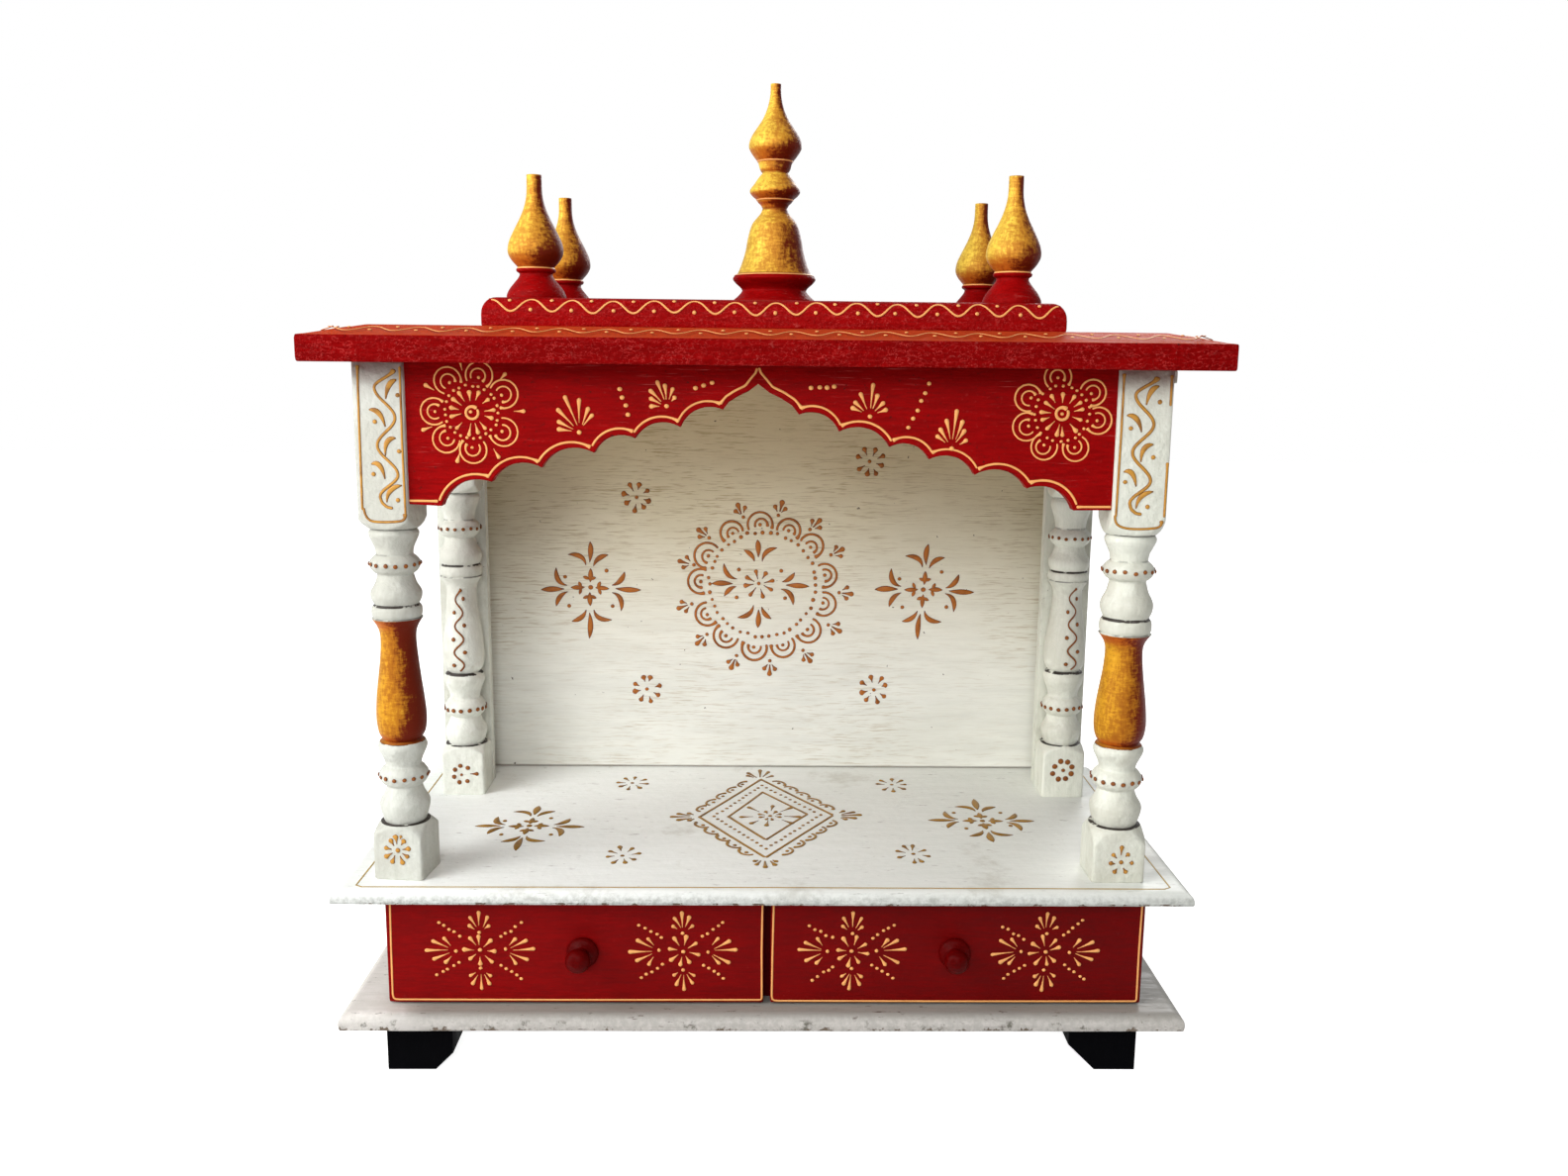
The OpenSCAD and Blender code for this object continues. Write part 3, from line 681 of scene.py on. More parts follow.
# Outlines of the turned parts as height and radius, one list for each bead
COLUMN_BEADS = {
    "lower_bell": [[0, 15.2], [3, 16.4], [9, 18], [13, 18.4], [16, 17.6], [21, 14.8], [26, 13.2]],
    "lower_ring": [[27, 13.4], [29, 15.8], [32, 17.6], [34.5, 18], [37, 17.6], [40, 15.6],
                   [41.5, 13.6]],
    "lower_cup": [[42.5, 13.2], [46, 14], [50, 15.8], [54, 17.6], [57, 18], [60, 16.6]],
    "vase": [[61, 13.5], [63, 15.2], [67, 17.2], [74, 18.3], [82, 18.4], [94, 17.4], [108, 15.6],
             [122, 13.9], [134, 13.0], [141, 13.4], [146, 15.2], [151, 18.4]],
    "collar": [[151.8, 17.2], [153.5, 18], [156, 18.2], [159, 17.8], [160.5, 16.6]],
    "upper_bell": [[161.5, 16], [165, 17.8], [169, 18.4], [172, 17.6], [177, 14.8], [183, 13]],
    "upper_ring": [[184, 13.4], [186, 16], [189, 17.8], [191, 18.1], [193.5, 17.6], [196, 15.6],
                   [197.5, 13.6]],
    "upper_cup": [[198.5, 13.4], [203, 14.2], [208, 16.4], [212, 18], [214.5, 17.8], [217, 16]],
}
# The width of the stock that the beads are drawn for
DRAWN_STOCK = 37
# How dark the joint above each bead of a column is
JOINTS = (0.3, 0.35, 1.0, 0.45, 1.0, 0.35, 0.45)
# Thickness of the stiles behind the back columns
STILE_T = 10.0
# Heights on the front columns' turning, and where they come on the back columns'
FRONT_HEIGHTS, BACK_HEIGHTS = (0, 61, 151.5, 198, 217), (0, 61, 143, 190, 214)
# Heights of a column's base and capital blocks, and of the turned away corners
FRONT_BLOCKS, BACK_BLOCKS, SHOULDER_H = (37.0, 114.0), (46.5, 107.5), 11.0
# Heights on a column as drawn, and where the turner's hand put them
COLUMN_STRETCH = {
    "column_front_left": ((0, 37, 98, 188, 254, 368), (0, 40.3, 101, 189.8, 254, 368)),
    "column_front_right": ((0, 37, 98, 188, 197.8, 221, 254, 368),
                           (0, 40, 100.7, 182, 193, 221, 254, 368)),
    "column_back_left": ((0, 46.5, 81, 107.5, 189.5, 199, 229.5, 260.5, 368),
                         (0, 42.5, 74, 105.7, 189.5, 199, 230.5, 260.5, 368)),
    "column_back_right": ((0, 46.5, 81, 107.5, 189.5, 199, 229.5, 260.5, 368),
                          (0, 45.4, 78.3, 110.2, 189.5, 197.4, 226.3, 260.5, 368)),
}
# Size of a column against its CAD solid, and its turn about its axis in degrees
COLUMN_FORMS = {"column_front_left": (1.0, -7.0), "column_front_right": (1.06, 0.0),
                "column_back_left": (1.0, 0.0), "column_back_right": (1.0, 0.0)}
CENTRE_FINIAL = {
    "foot": [[0, 31.2], [4, 31], [6.8, 28], [10.6, 24.7], [13, 25.2], [16.8, 29.4], [19.9, 31.5],
             [22.6, 30]],
    "bell": [[23.5, 28], [29, 25.6], [35.6, 23.3], [42, 21.6], [48, 20.6], [55.6, 18.7],
             [60.6, 16.7], [64.4, 13.6], [68, 10.6], [71, 9.4]],
    "collar": [[71, 9.0], [74, 10.8], [75.6, 12.6], [78, 14.2], [80.5, 17.2], [83, 18.9],
               [85.5, 18.4], [89, 15.6], [92, 13.6], [95, 11.2], [96.8, 9.4]],
    "bulb": [[98, 10.6], [100, 11.6], [103, 12.4], [105, 13.2], [108, 15.6], [112, 18.4],
             [115, 19.7], [119, 19.4], [124, 17.2], [129, 13.8], [135, 9.8], [142, 6.6],
             [148, 4.9], [154, 4], [160, 3.9]],
}
CORNER_FINIAL = {
    "foot": [[0, 20.8], [3, 20.6], [7.5, 18.4], [12, 14.9], [15, 12.6], [17, 11.6],
             [18.4, 11.7], [19.6, 13.4], [21.2, 13.8], [22, 12.8]],
    "bulb": [[23, 12.8], [25, 14.6], [28, 17.0], [32, 19.0], [36, 19.3], [41, 18.3], [46, 16.2],
             [51, 13.8], [56, 11.3], [61, 9.1], [66, 7.3], [72, 5.9], [78, 5.3], [88, 5.2]],
}
# Heights of the corner finials against their CAD solids
FINIAL_HEIGHTS = {"finial_front_left": 0.98, "finial_front_right": 1.02}
KNOB = {
    "plate": [[0, 11.6], [2, 11.8], [4, 10.2]],
    "neck": [[5, 5.6], [8, 5], [12, 5.6]],
    "head": [[13, 7.4], [16, 9], [19.5, 8.9], [23, 6.6], [25, 2.5]],
}


def bead_rows(beads, darkness=None):
    """All beads one above the other as rows of height and radius, with the bead that each
    row belongs to and a groove value that peaks where two beads meet: the darkness there
    times a bell curve of the height."""
    curves = [smooth_curve(bead) for bead in beads.values()]
    rows = np.concatenate(curves)
    owner = np.repeat(np.arange(len(curves)), [len(curve) for curve in curves])
    joints = np.array([(low[-1, 0] + high[0, 0]) / 2 for low, high in zip(curves, curves[1:])])
    gap = np.abs(rows[:, :1] - joints)
    nearest = gap.argmin(1)
    deep = np.array(darkness or [1.0] * len(joints))[nearest]
    return rows, owner, deep * np.exp(-((gap.min(1) / 0.9) ** 2))


def finial_rows(name):
    """Rows of a finial at its own height, their beads and grooves, the foot of its axis and
    how much taller than drawn it is."""
    (x0, y0, z0), (x1, y1, z1) = cad_box(name)
    rows, owner, groove = bead_rows(CENTRE_FINIAL if name == "finial_centre" else CORNER_FINIAL)
    tall = (z1 - z0) / rows[-1, 0] * FINIAL_HEIGHTS.get(name, 1.0)
    return rows * [tall, 1], owner, groove, ((x0 + x1) / 2, (y0 + y1) / 2, z0), tall


def turn_piece(name, rows, owner, groove, axis, body, slot, materials, paint_of, hides, rng,
               sides=48, lathe=(0, 0, 1)):
    """A turned piece: each row is a circle about the lathe's axis, strayed from by a slow
    wave round and along it, as paint and hand leave it."""
    angle = np.linspace(0, 2 * np.pi, sides, endpoint=False)
    height, radius = rows[:, :1], rows[:, 1:]
    wave = (np.sin(angle * 2 + height / 9 + rng.uniform(0, 6)) +
            np.sin(angle * 5 - height / 6 + rng.uniform(0, 6)) * 0.6)
    radius = radius - WOBBLE * (1.6 + wave) / 3.2 * np.minimum(1, radius / 6)
    out = np.array([0, 1, 0] if lathe[1] == 0 else [0, 0, 1], float)
    side = np.cross(out, lathe)
    loops = (np.array(axis) + (radius * np.cos(angle))[..., None] * side
             + (radius * np.sin(angle))[..., None] * out
             + (height * np.ones_like(angle))[..., None] * np.array(lathe, float))
    face_paint = np.repeat([paint_of(k) for k in owner[1:]], sides)
    make_skin(name, loops, body, slot, materials, face_paint=face_paint, hides=hides,
              groove=np.repeat(groove, sides), worn=np.zeros(loops.shape[:2]))


def column_rows(name):
    """Rows of a column as height and the lathe's radius, where a block's corners set it, with
    the bead and the groove value of each row. A back column's vase is shorter."""
    low, high = cad_box(name)
    block, height = high[0] - low[0], high[2] - low[2]
    half = block / 2
    corner = half * 2**0.5 + 1
    tall = SHOULDER_H * (1.5 if name == "column_front_right" else 1.0)
    shoulder = smooth_curve([[tall, corner], [tall * 0.6, corner * 0.93],
                             [tall * 0.25, half * 1.16], [0, half * 0.97]], 4)
    rows, owner, groove = bead_rows(COLUMN_BEADS, JOINTS)
    base_h, capital_h = BACK_BLOCKS if "back" in name else FRONT_BLOCKS
    if "back" in name:
        rows[:, 0] = np.interp(rows[:, 0], FRONT_HEIGHTS, BACK_HEIGHTS)
    rows = rows * [(height - base_h - capital_h) / rows[-1, 0], block / DRAWN_STOCK] + [base_h, 0]
    base = np.array([[0, corner - 2], [0.7, corner],
                     *[[z, corner] for z in np.linspace(6, base_h - tall - 2, 4)]])
    base = np.concatenate([base, [[base_h - d, r] for d, r in shoulder]])
    top = height - capital_h
    capital = [[top + d, r] for d, r in shoulder[::-1]]
    capital += [[top + d, corner] for d in (tall + 5, 30, 50, 70, 90, capital_h)]
    all_rows = np.concatenate([base, rows, capital])
    owner = np.pad(owner, (len(base), len(capital)), constant_values=-1)
    groove = np.pad(groove, (len(base), len(capital)))
    first, after = len(base), len(base) + len(rows)
    groove[[first - 1, first, after - 1, after]] = 1.0
    all_rows[:, 0] = np.interp(all_rows[:, 0], *COLUMN_STRETCH[name])
    return all_rows, owner, groove


def turn_column(name, gilded, rng):
    """A column: at each angle its radius is the lathe's, or the square block's where that is
    less. The square is a high power ellipse, so its edges are slightly rubbed."""
    (x0, y0, z0), (x1, y1, _) = cad_box(name)
    block = x1 - x0
    stout, spin = COLUMN_FORMS[name]
    rows, owner, groove = column_rows(name)
    sides = sizes().column_sides
    even = np.linspace(0, 2 * np.pi, sides, endpoint=False)
    angle = even + 0.19 * np.sin(4 * even)  # more points near the block's corners
    power = 22.0
    square = block / 2 / ((np.abs(np.cos(angle)) ** power + np.abs(np.sin(angle)) ** power)
                          ** (1 / power))
    height, lathe = rows[:, :1], rows[:, 1:]
    wave = (np.sin(angle * 3 + height / 17 + rng.uniform(0, 6))
            + np.sin(angle * 7 - height / 11 + rng.uniform(0, 6)))
    lump = (np.sin(angle * 2 + height / 23 + rng.uniform(0, 6))
            + np.sin(angle * 5 + height / 8 + rng.uniform(0, 6)) * 0.5)
    radius = np.minimum(square, lathe - WOBBLE * (2 + wave) / 2 - 0.16 * (1.5 + lump))
    around = angle + np.radians(spin)
    loops = np.stack([(x0 + x1) / 2 + stout * radius * np.cos(around),
                      (y0 + y1) / 2 + stout * radius * np.sin(around),
                      z0 + height * np.ones_like(angle)], -1)
    vase = list(COLUMN_BEADS).index("vase")
    face_paint = np.repeat([int(gilded and k == vase) for k in owner[1:]], sides)
    corner = np.clip((radius / (block / 2) - 1.28) / 0.06, 0, 1) * 0.35
    make_skin("turned_" + name, loops, "temple", "white_paint",
              ["column_white" if gilded else "back_column_white", "vase_gold"],
              face_paint=face_paint, hides=[name], groove=np.repeat(groove, sides), worn=corner)


# ---------------------------------------------------------------- cone work


def on_plane(origin, right, up):
    """Lays a drawing on a plane: a goes right, b goes up, h stands out from it."""
    origin, right, up = (np.array(v, float) for v in (origin, right, up))
    out = np.cross(right, up)
    return lambda a, b, h: (origin + a[..., None] * right + b[..., None] * up
                            + h[..., None] * out)


def front_plane(y):
    """The upright plane at y: a goes right, b is the height."""
    return on_plane((0, y, 0), (1, 0, 0), (0, 0, 1))


def over_edge(origin, right, inward, rise, run):
    """Lays a drawing over a quarter round edge: a goes along it and b round it, over a
    quarter ellipse that starts upright at the origin and ends flat, rise up and run in."""
    sweep = np.pi / 2 * np.sqrt((rise**2 + run**2) / 2)

    def place(a, b, h):
        turn = b / sweep * np.pi / 2
        way = run * (1 - np.cos(turn)) - h * np.cos(turn)
        return (origin + a[..., None] * np.array(right, float) + way[..., None] * inward
                + ((rise + h) * np.sin(turn))[..., None] * np.array([0, 0, 1.0]))
    return place


# The radius at which an arc round a turning keeps its length
WRAP_RADIUS = 18


def round_turning(x, y, heights, radii):
    """Lays a drawing round a turned piece: a is the arc from the front at the wrap radius,
    b the height and h stands out from the turning."""
    def place(a, b, h):
        radius, turn = np.interp(b, heights, radii) + h, a / WRAP_RADIUS
        return np.stack([x + radius * np.sin(turn), y - radius * np.cos(turn), b], -1)
    return place


def polar(radius, angle):
    """A point at a radius and an angle in radians."""
    return radius * np.array([np.cos(angle), np.sin(angle)])


def drop(x, y, angle, length, head, tail=0.35, bend=0.0):
    """A teardrop: from a thin start its half width grows with the square of the way to a
    round head. bend moves the head sideways."""
    neck = max(length - head, head * 0.2)
    way = np.concatenate([[0, 0.04 * neck, 0.3 * neck, 0.6 * neck, 0.85 * neck, neck],
                          neck + head * np.array([0.45, 0.8, 1.0])])
    half = tail + (head - tail) * np.clip(way / neck, 0, 1) ** 2
    half *= np.sqrt(np.clip(1 - (np.clip(way - neck, 0, None) / head) ** 2, 0.03, 1))
    half[0] *= 0.4
    side = bend * (way / (neck + head)) ** 2
    c, s = np.cos(angle), np.sin(angle)
    return np.stack([x + way * c - side * s, y + way * s + side * c], -1), half


def dot(x, y, radius):
    """A round dot: a very short stroke whose half width follows a circle."""
    way = np.array([-0.96, -0.65, 0.0, 0.65, 0.96])
    return np.stack([x + radius * way, np.full(5, float(y))], -1), radius * np.sqrt(1 - way**2)


def leaf(start, middle, end, half, tail=0.3):
    """A lens on a bent line: a quadratic curve by three points, widest past its middle."""
    t = np.linspace(0, 1, 9)[:, None]
    a, b, c = (np.array(p, float) for p in (start, middle, end))
    path = a * (1 - t) ** 2 + 2 * b * t * (1 - t) + c * t**2
    t = t[:, 0]
    return path, tail + (half - tail) * np.sin(np.pi * t**1.25) ** 0.8


def line(points, half, blob=1.3, pitch=1.6):
    """A piped line through points, with a blob where the cone touched down."""
    points = np.asarray(points, float)
    length = np.concatenate([[0], np.cumsum(np.linalg.norm(np.diff(points, axis=0), axis=1))])
    way = np.linspace(0, length[-1], max(5, int(length[-1] / pitch)))
    edge = np.array([0.15, 0.5, 0.9]) * half
    way = np.concatenate([[0], edge, way[(way > half) & (way < length[-1] - half)],
                          length[-1] - edge[::-1], [length[-1]]])
    path = np.stack([np.interp(way, length, points[:, k]) for k in (0, 1)], -1)
    gap = np.minimum(way, length[-1] - way)
    width = half * np.sqrt(1 - (1 - np.clip(gap / half, 0.02, 1)) ** 2)
    return path, width * (1 + (blob - 1) * np.exp(-((way / (3 * half)) ** 2)))


def arc(x, y, radius, start, stop, half, blob=1.2, squash=1.0):
    """A piped arc about a point, between two angles in degrees."""
    turn = np.radians(np.linspace(start, stop, 15))
    return line(np.stack([x + radius * np.cos(turn), y + radius * squash * np.sin(turn)], -1),
                half, blob)


def moved(strokes, x, y, turn=0.0, size=1.0, mirror=1):
    """Strokes turned by an angle in degrees, scaled and moved."""
    c, s = np.cos(np.radians(turn)), np.sin(np.radians(turn))
    spin = np.array([[c, s], [-s, c]]) * size
    return [((path * [mirror, 1]) @ spin + [x, y], half * size**0.5) for path, half in strokes]


class ConeWork:
    """Piped strokes on one surface. Each is a low ridge: at every point of its path a ring
    of eight points, a half ellipse above the board and a shallow keel inside it."""

    def __init__(self, name, place, seed):
        self.name, self.place, self.rng, self.strokes = name, place, np.random.default_rng(seed), []

    def add(self, strokes, x=0.0, y=0.0, turn=0.0):
        shake = sizes().shake / MM
        for path, half in moved(strokes, x, y, turn):
            stray = self.rng.normal(0, shake, 2)
            self.strokes.append((path + stray, half * self.rng.uniform(0.93, 1.08)))

    def lay(self, material, body="temple"):
        turn = np.radians([0, 36, 72, 108, 144, 180])
        across = np.concatenate([np.cos(turn), [-0.75, 0.75]])
        above = np.concatenate([np.sin(turn), [0, 0]])
        keel = np.array([0.0] * 6 + [-0.25, -0.25])
        points, quads, caps, rises, start = [], [], [], [], 0
        relief = sizes().relief
        for path, half in self.strokes:
            tangent = np.gradient(path, axis=0)
            tangent /= np.linalg.norm(tangent, axis=1)[:, None] + 1e-9
            normal = np.stack([-tangent[:, 1], tangent[:, 0]], -1)
            share = (half / half.max()) ** 0.7
            tall = min(0.95, half.max() * relief) * share
            flat = path[:, None] + normal[:, None] * (half[:, None] * across)[..., None]
            rise = tall[:, None] * above + keel
            loops = self.place(flat[..., 0], flat[..., 1], rise)
            body_quads, ends = skin(loops)
            points.append(loops.reshape(-1, 3))
            quads.append(body_quads + start)
            caps += [end + start for end in ends]
            rises.append((above * share[:, None]).ravel())
            start += loops.shape[0] * 8
        make_piece(self.name, np.concatenate(points), np.concatenate(quads), caps, body,
                   "cone_work", [material], rise=np.concatenate(rises))


def dots_round(angles, radius, size):
    """Dots on a circle, at the given angles in degrees."""
    return [dot(*polar(radius, angle), size) for angle in np.radians(angles)]


def opened(reach):
    """Lengths of the five drops of a small fan: the outer two are the shortest."""
    return (reach * 0.6, reach * 0.85, reach, reach * 0.85, reach * 0.6)


def flower(rng, count, inner, outer, head, centre, turn):
    """A dot with drops all round, their heads outward; no dot where centre is 0."""
    strokes = [dot(0, 0, centre)] if centre else []
    for k in range(count):
        angle = np.radians(turn) + 2 * np.pi * k / count + rng.normal(0, 0.07)
        start = inner * rng.uniform(0.85, 1.15)
        strokes.append(drop(*polar(start, angle), angle, (outer - start) * rng.uniform(0.85, 1.1),
                            head * rng.uniform(0.85, 1.1)))
    return strokes


def fan(rng, lengths, spread, start, head, base, tail):
    """Drops that open from a base dot like a hand of fingers, upward."""
    strokes = [dot(0, 0, base)]
    for length, angle in zip(lengths, np.linspace(90 + spread / 2, 90 - spread / 2, len(lengths))):
        turn = np.radians(angle + rng.normal(0, 2))
        reach = start * rng.uniform(0.9, 1.2)
        strokes.append(drop(*polar(reach, turn), turn, length - reach,
                            head * rng.uniform(0.9, 1.1), tail, rng.normal(0, 0.5)))
    return strokes


def spray(rng):
    """Pointed rays: a straight one and two bent ones on each of four sides, three small
    leaves nearer the middle on each side and four dots between."""
    strokes = [dot(0, 0, 2.3)]
    for turn, reach in ((0, 46), (90, 42), (180, 44), (270, 47)):
        side = [leaf((23, 0), (33, rng.normal(0, 1.2)), (reach, 0), 2.6),
                leaf((20, 3.0), (29, 5.5), (31, 16), 2.4),
                leaf((20, -3.0), (31, -5), (29, -19.5), 2.4),
                leaf((4.5, 0), (9, 0.4), (17, rng.normal(0, 0.5)), 2.2),
                leaf((7.5, 0.5), (9, 2.5), (10, 6), 1.6),
                leaf((7.5, -0.5), (9, -2.5), (10, -6), 1.6)]
        mirror = -1 if turn in (90, 270) else 1
        side = [(path * [1, mirror], half) for path, half in side]
        strokes += moved(side, 0, 0, turn + rng.normal(0, 3))
    return strokes + [dot(x, y, 1.8) for x, y in ((-22, 10), (16, 16), (-19, -17), (21, -17))]


def mandala(rng):
    """The large round figure: flower, four leaf sprays, a ring of dots, thirteen double
    arches on it and a three-drop sprig between each two."""
    strokes = flower(rng, 8, 4.5, 14.5, 2.0, 1.7, 15)
    for turn, reach in ((0, 45), (90, 40), (180, 43), (270, 41)):
        side = [leaf((24, 0), (33, rng.normal(0, 1)), (reach, 0), 2.6),
                leaf((21, 3), (28, 4), (32, 12), 2.3), leaf((20, -4), (31, -5), (32, -18), 2.3)]
        strokes += moved(side, 0, 0, turn + rng.normal(0, 3))
    strokes += [dot(x, y, 1.8) for x, y in ((-18, 12), (20, 11.5), (-19.5, -13), (23.5, -13))]
    for k in range(44):
        angle = 2 * np.pi * k / 44 + rng.normal(0, 0.012)
        at = [3, -1.4] + polar(48 + rng.normal(0, 0.5), angle)
        strokes.append(dot(*at, 1.7 * rng.uniform(0.85, 1.15)))
    for k in range(13):
        turn = 94.4 - k * 360 / 13 + rng.normal(0, 1.5)
        arch = [arc(0, 4, 11, -25, 205, 1.1, 1.7), arc(0, 3.5, 5.6, -20, 200, 1.0, 1.5),
                dot(0, 3.6, 1.7)]
        strokes += moved(arch, *[3.8, -3] + polar(53, np.radians(turn)), turn - 90,
                         1 + rng.normal(0, 0.04), 1 if k < 9 else -1)
        turn -= 180 / 13
        sprig = [dot(0, 0, 1.7), drop(0, 3.5, np.pi / 2, 11, 2.4, 0.6),
                 drop(1.8, 3.5, np.radians(55), 7, 2.1), drop(-1.8, 3.5, np.radians(125), 7, 2.1)]
        strokes += moved(sprig, *[4.5, -4.5] + polar(67.5, np.radians(turn)),
                         turn - 90 + rng.normal(0, 5))
    return strokes


def rosette(rng, loops, drops, ring, count):
    """An arch wheel: ring and dot, thirteen drops, a ring of dots, and double loops that
    open inward at the given angles with drops outside them at the others."""
    strokes = [arc(0, 0, 4.3, 40, 395, 1.05, 1.5), dot(0, 0, 1.25)]
    strokes += flower(rng, 13, 8, 16, 1.65, 0, 8)
    for k in range(count):
        angle = 2 * np.pi * k / count + rng.normal(0, 0.02)
        strokes.append(dot(*polar(ring, angle), 1.1))
    for turn in loops:
        loop = [arc(0, 0, 9.3, -46, 220, 0.68, 1.9), arc(0, -0.5, 5.1, -42, 217, 0.64, 1.9),
                dot(0, -1.2, 1.15)]
        strokes += moved(loop, *polar(25.5, np.radians(turn)), turn - 90,
                         rng.uniform(0.96, 1.04))
    return strokes + [drop(*polar(28.5, angle), angle, 8.1, 1.5) for angle in np.radians(drops)]


def spread_fan(rng, angles, lengths, head=1.65):
    """A base dot with drops at the given angles, from left to right."""
    strokes = [dot(0, 0, 1.65)]
    for angle, length in zip(np.radians(angles), lengths):
        reach = rng.uniform(4.3, 5.8)
        strokes.append(drop(*polar(reach, angle), angle, length - reach,
                            head * rng.uniform(0.92, 1.08), 0.4, rng.normal(0, 0.5)))
    return strokes


def dots(start, end, count, radius):
    """A row of dots from start to end."""
    start, end = np.array(start, float), np.array(end, float)
    return [dot(*start + (end - start) * t, radius) for t in np.linspace(0, 1, count)]


def wave(length, period, swing, half, dot_radius, rng):
    """A sine line with a dot inside each bend."""
    count = max(2, round(length / period))
    period = length / count
    x = np.linspace(-length / 2, length / 2, count * 14)
    phase = 2 * np.pi * (x + length / 2) / period
    drift = 0.12 * swing * np.sin(phase / 3.7)
    strokes = [line(np.stack([x, swing * np.cos(phase) + drift], -1), half, 1.2)]
    for k in range(1, count * 2):
        at = (k * period - length) / 2
        sign = -1 if k % 2 == 0 else 1
        strokes.append(dot(at + rng.normal(0, 0.5), sign * swing * 0.75, dot_radius))
    return strokes


def through(start, middle, end, half, tail=0.45):
    """A leaf whose middle lies on it: the pull point of its curve is twice as far out."""
    pull = 2 * np.array(middle, float) - (np.array(start, float) + np.array(end, float)) / 2
    return leaf(start, pull, end, half, tail)


def vine(rng):
    """An upright S line from the top down, with a comma leaf and a dot in each bend."""
    turns = np.array([[7.5, -4.6], [-6.8, -17], [6.8, -37], [-6.8, -56], [6.8, -75.6],
                      [-6.8, -91]])
    t = np.linspace(0, 1, 12, endpoint=False)
    swing = (1 - np.cos(np.pi * t)) / 2
    path = [np.stack([a[0] + (b[0] - a[0]) * swing, a[1] + (b[1] - a[1]) * t], -1)
            for a, b in zip(turns, turns[1:])]
    path.append(np.array([[-6.8, -91], [-5.6, -95], [-2, -98], [2, -98.6]]))
    strokes = [line(np.concatenate(path), 1.1, 1.9)]
    for start, middle, end, berry in (
            ((9.6, -11.8), (4.2, -15.5), (1.5, -24.6), (9.3, -22.4)),
            ((-11.7, -31.5), (-4.9, -33.7), (-0.9, -42.8), (-7.7, -40)),
            ((7.3, -50), (1, -52.8), (-0.7, -62), (8.2, -58.8)),
            ((-11.3, -68.3), (-5.5, -69.2), (-2.2, -78.3), (-10.4, -75.6)),
            ((9.7, -82.9), (1.5, -86.5), (-1.6, -94.7), (6, -93.8))):
        stray = rng.normal(0, 0.4, 2)
        strokes.append(through(end + stray, middle + stray, start + stray, 1.9))
        strokes.append(dot(*(berry + stray), 1.6))
    return strokes


# The arch's lower edge from the middle of its top: the tip, then the cusps on each side
ARCH_TIP = (-4.8, -12.0)
ARCH_CUSPS = {
    -1: [(-28.7, -29.5), (-57.7, -41.7), (-88.5, -49.5), (-116.6, -59.7), (-152.5, -70.0),
         (-186.9, -80.1), (-221.6, -97.0)],
    1: [(23.2, -32.4), (50.8, -43.7), (85.6, -53.8), (113.1, -61.9), (144.8, -72.3),
        (181.1, -81.4), (214.3, -96.4)],
}


def arch_points(side):
    """Lower edge of one half of the arch, from the tip out: the ogee as a smooth curve, then
    lobes as arcs of a circle from cusp to cusp, which bulge upward."""
    tip, cusps = np.array(ARCH_TIP), np.array(ARCH_CUSPS[side])
    shares = np.array([[0.0, 0.0], [0.28, 0.29], [0.57, 0.48], [0.83, 0.71]])
    parts = [tip + shares * (cusps[0] - tip)]
    turn = np.radians(91)
    for a, b in zip(cusps * [side, 1], cusps[1:] * [side, 1]):
        chord = b - a
        radius = np.linalg.norm(chord) / 2 / np.sin(turn / 2)
        lean = np.arctan2(chord[0], -chord[1])
        middle = (a + b) / 2 - radius * np.cos(turn / 2) * np.array([np.cos(lean), np.sin(lean)])
        angle = lean + turn * (0.5 - np.arange(14) / 14)
        lobe = middle + radius * np.stack([np.cos(angle), np.sin(angle)], -1)
        parts.append(lobe * [side, 1])
    return parts, cusps


# A front capital's own drawing: how far its vine, the top of its frame line and the line's
# left side stray to the right, and how much the vine leans
CAPITAL_HANDS = {"column_front_left": (4.6, 4.6, 3.6, 0.012),
                 "column_front_right": (-0.8, 0.4, 0.0, 0.0)}
# In the order of the columns: where the block's flower sits across and up, the radius of the
# dots in the lower ring, and how far a back column's vine strays to the right
BLOCK_FLOWERS_AT = ((-0.1, 22.7), (1.2, 15.7), (-0.6, 18.3), (-0.4, 24.5))
RING_DOTS = (1.6, 1.7, 2.0, 1.9)
BACK_VINES_AT = (None, None, 0.0, 2.7)


# Places on the back panel, across and up, and on the deck, across and back
PANEL_SPRAYS, MANDALA_AT = ((-159, 314), (143.5, 314.8)), (-5.8, 319)
PANEL_FLOWERS = ((-116, 396.6), (92.6, 430), (-108, 220), (100.4, 220.7))
DECK_FLOWERS = ((-117, 96), (114, 94), (-108, -74), (114, -69))
# Sprays on the deck: across, back and turn
DECK_SPRAYS = ((-190, -12, 0), (179.4, 4, 180))
# Corners of the deck's two rhombus lines, from the left one round and back to it
RHOMBUS = np.array([[[-53.7, 11], [0.8, -77], [56.8, 15.4], [-3.4, 107.5], [-53.7, 11]],
                    [[-29.7, 11.5], [1.3, -41], [36.3, 18], [-1.2, 73.6], [-29.7, 11.5]]])
# The arch's fans: where their base dots are, the angles of their drops and how far they reach
ARCH_FANS = (
    (-128.8, 468.6, np.linspace(174, 51, 7), (16, 17, 21.3, 26.4, 22.3, 18.7, 15.8)),
    (-69.5, 486, np.linspace(172, 50, 7), (12, 13.7, 16.3, 19.5, 15.3, 14.2, 9.8)),
    (69, 481.3, (157, 136, 113, 88, 66, 45, 16), (13.9, 15, 17, 22.3, 16, 14, 13.3)),
    (125.6, 460, (138, 122, 100, 83, 69, 49, 26), (14, 16.6, 20, 26, 20, 16, 12)),
)
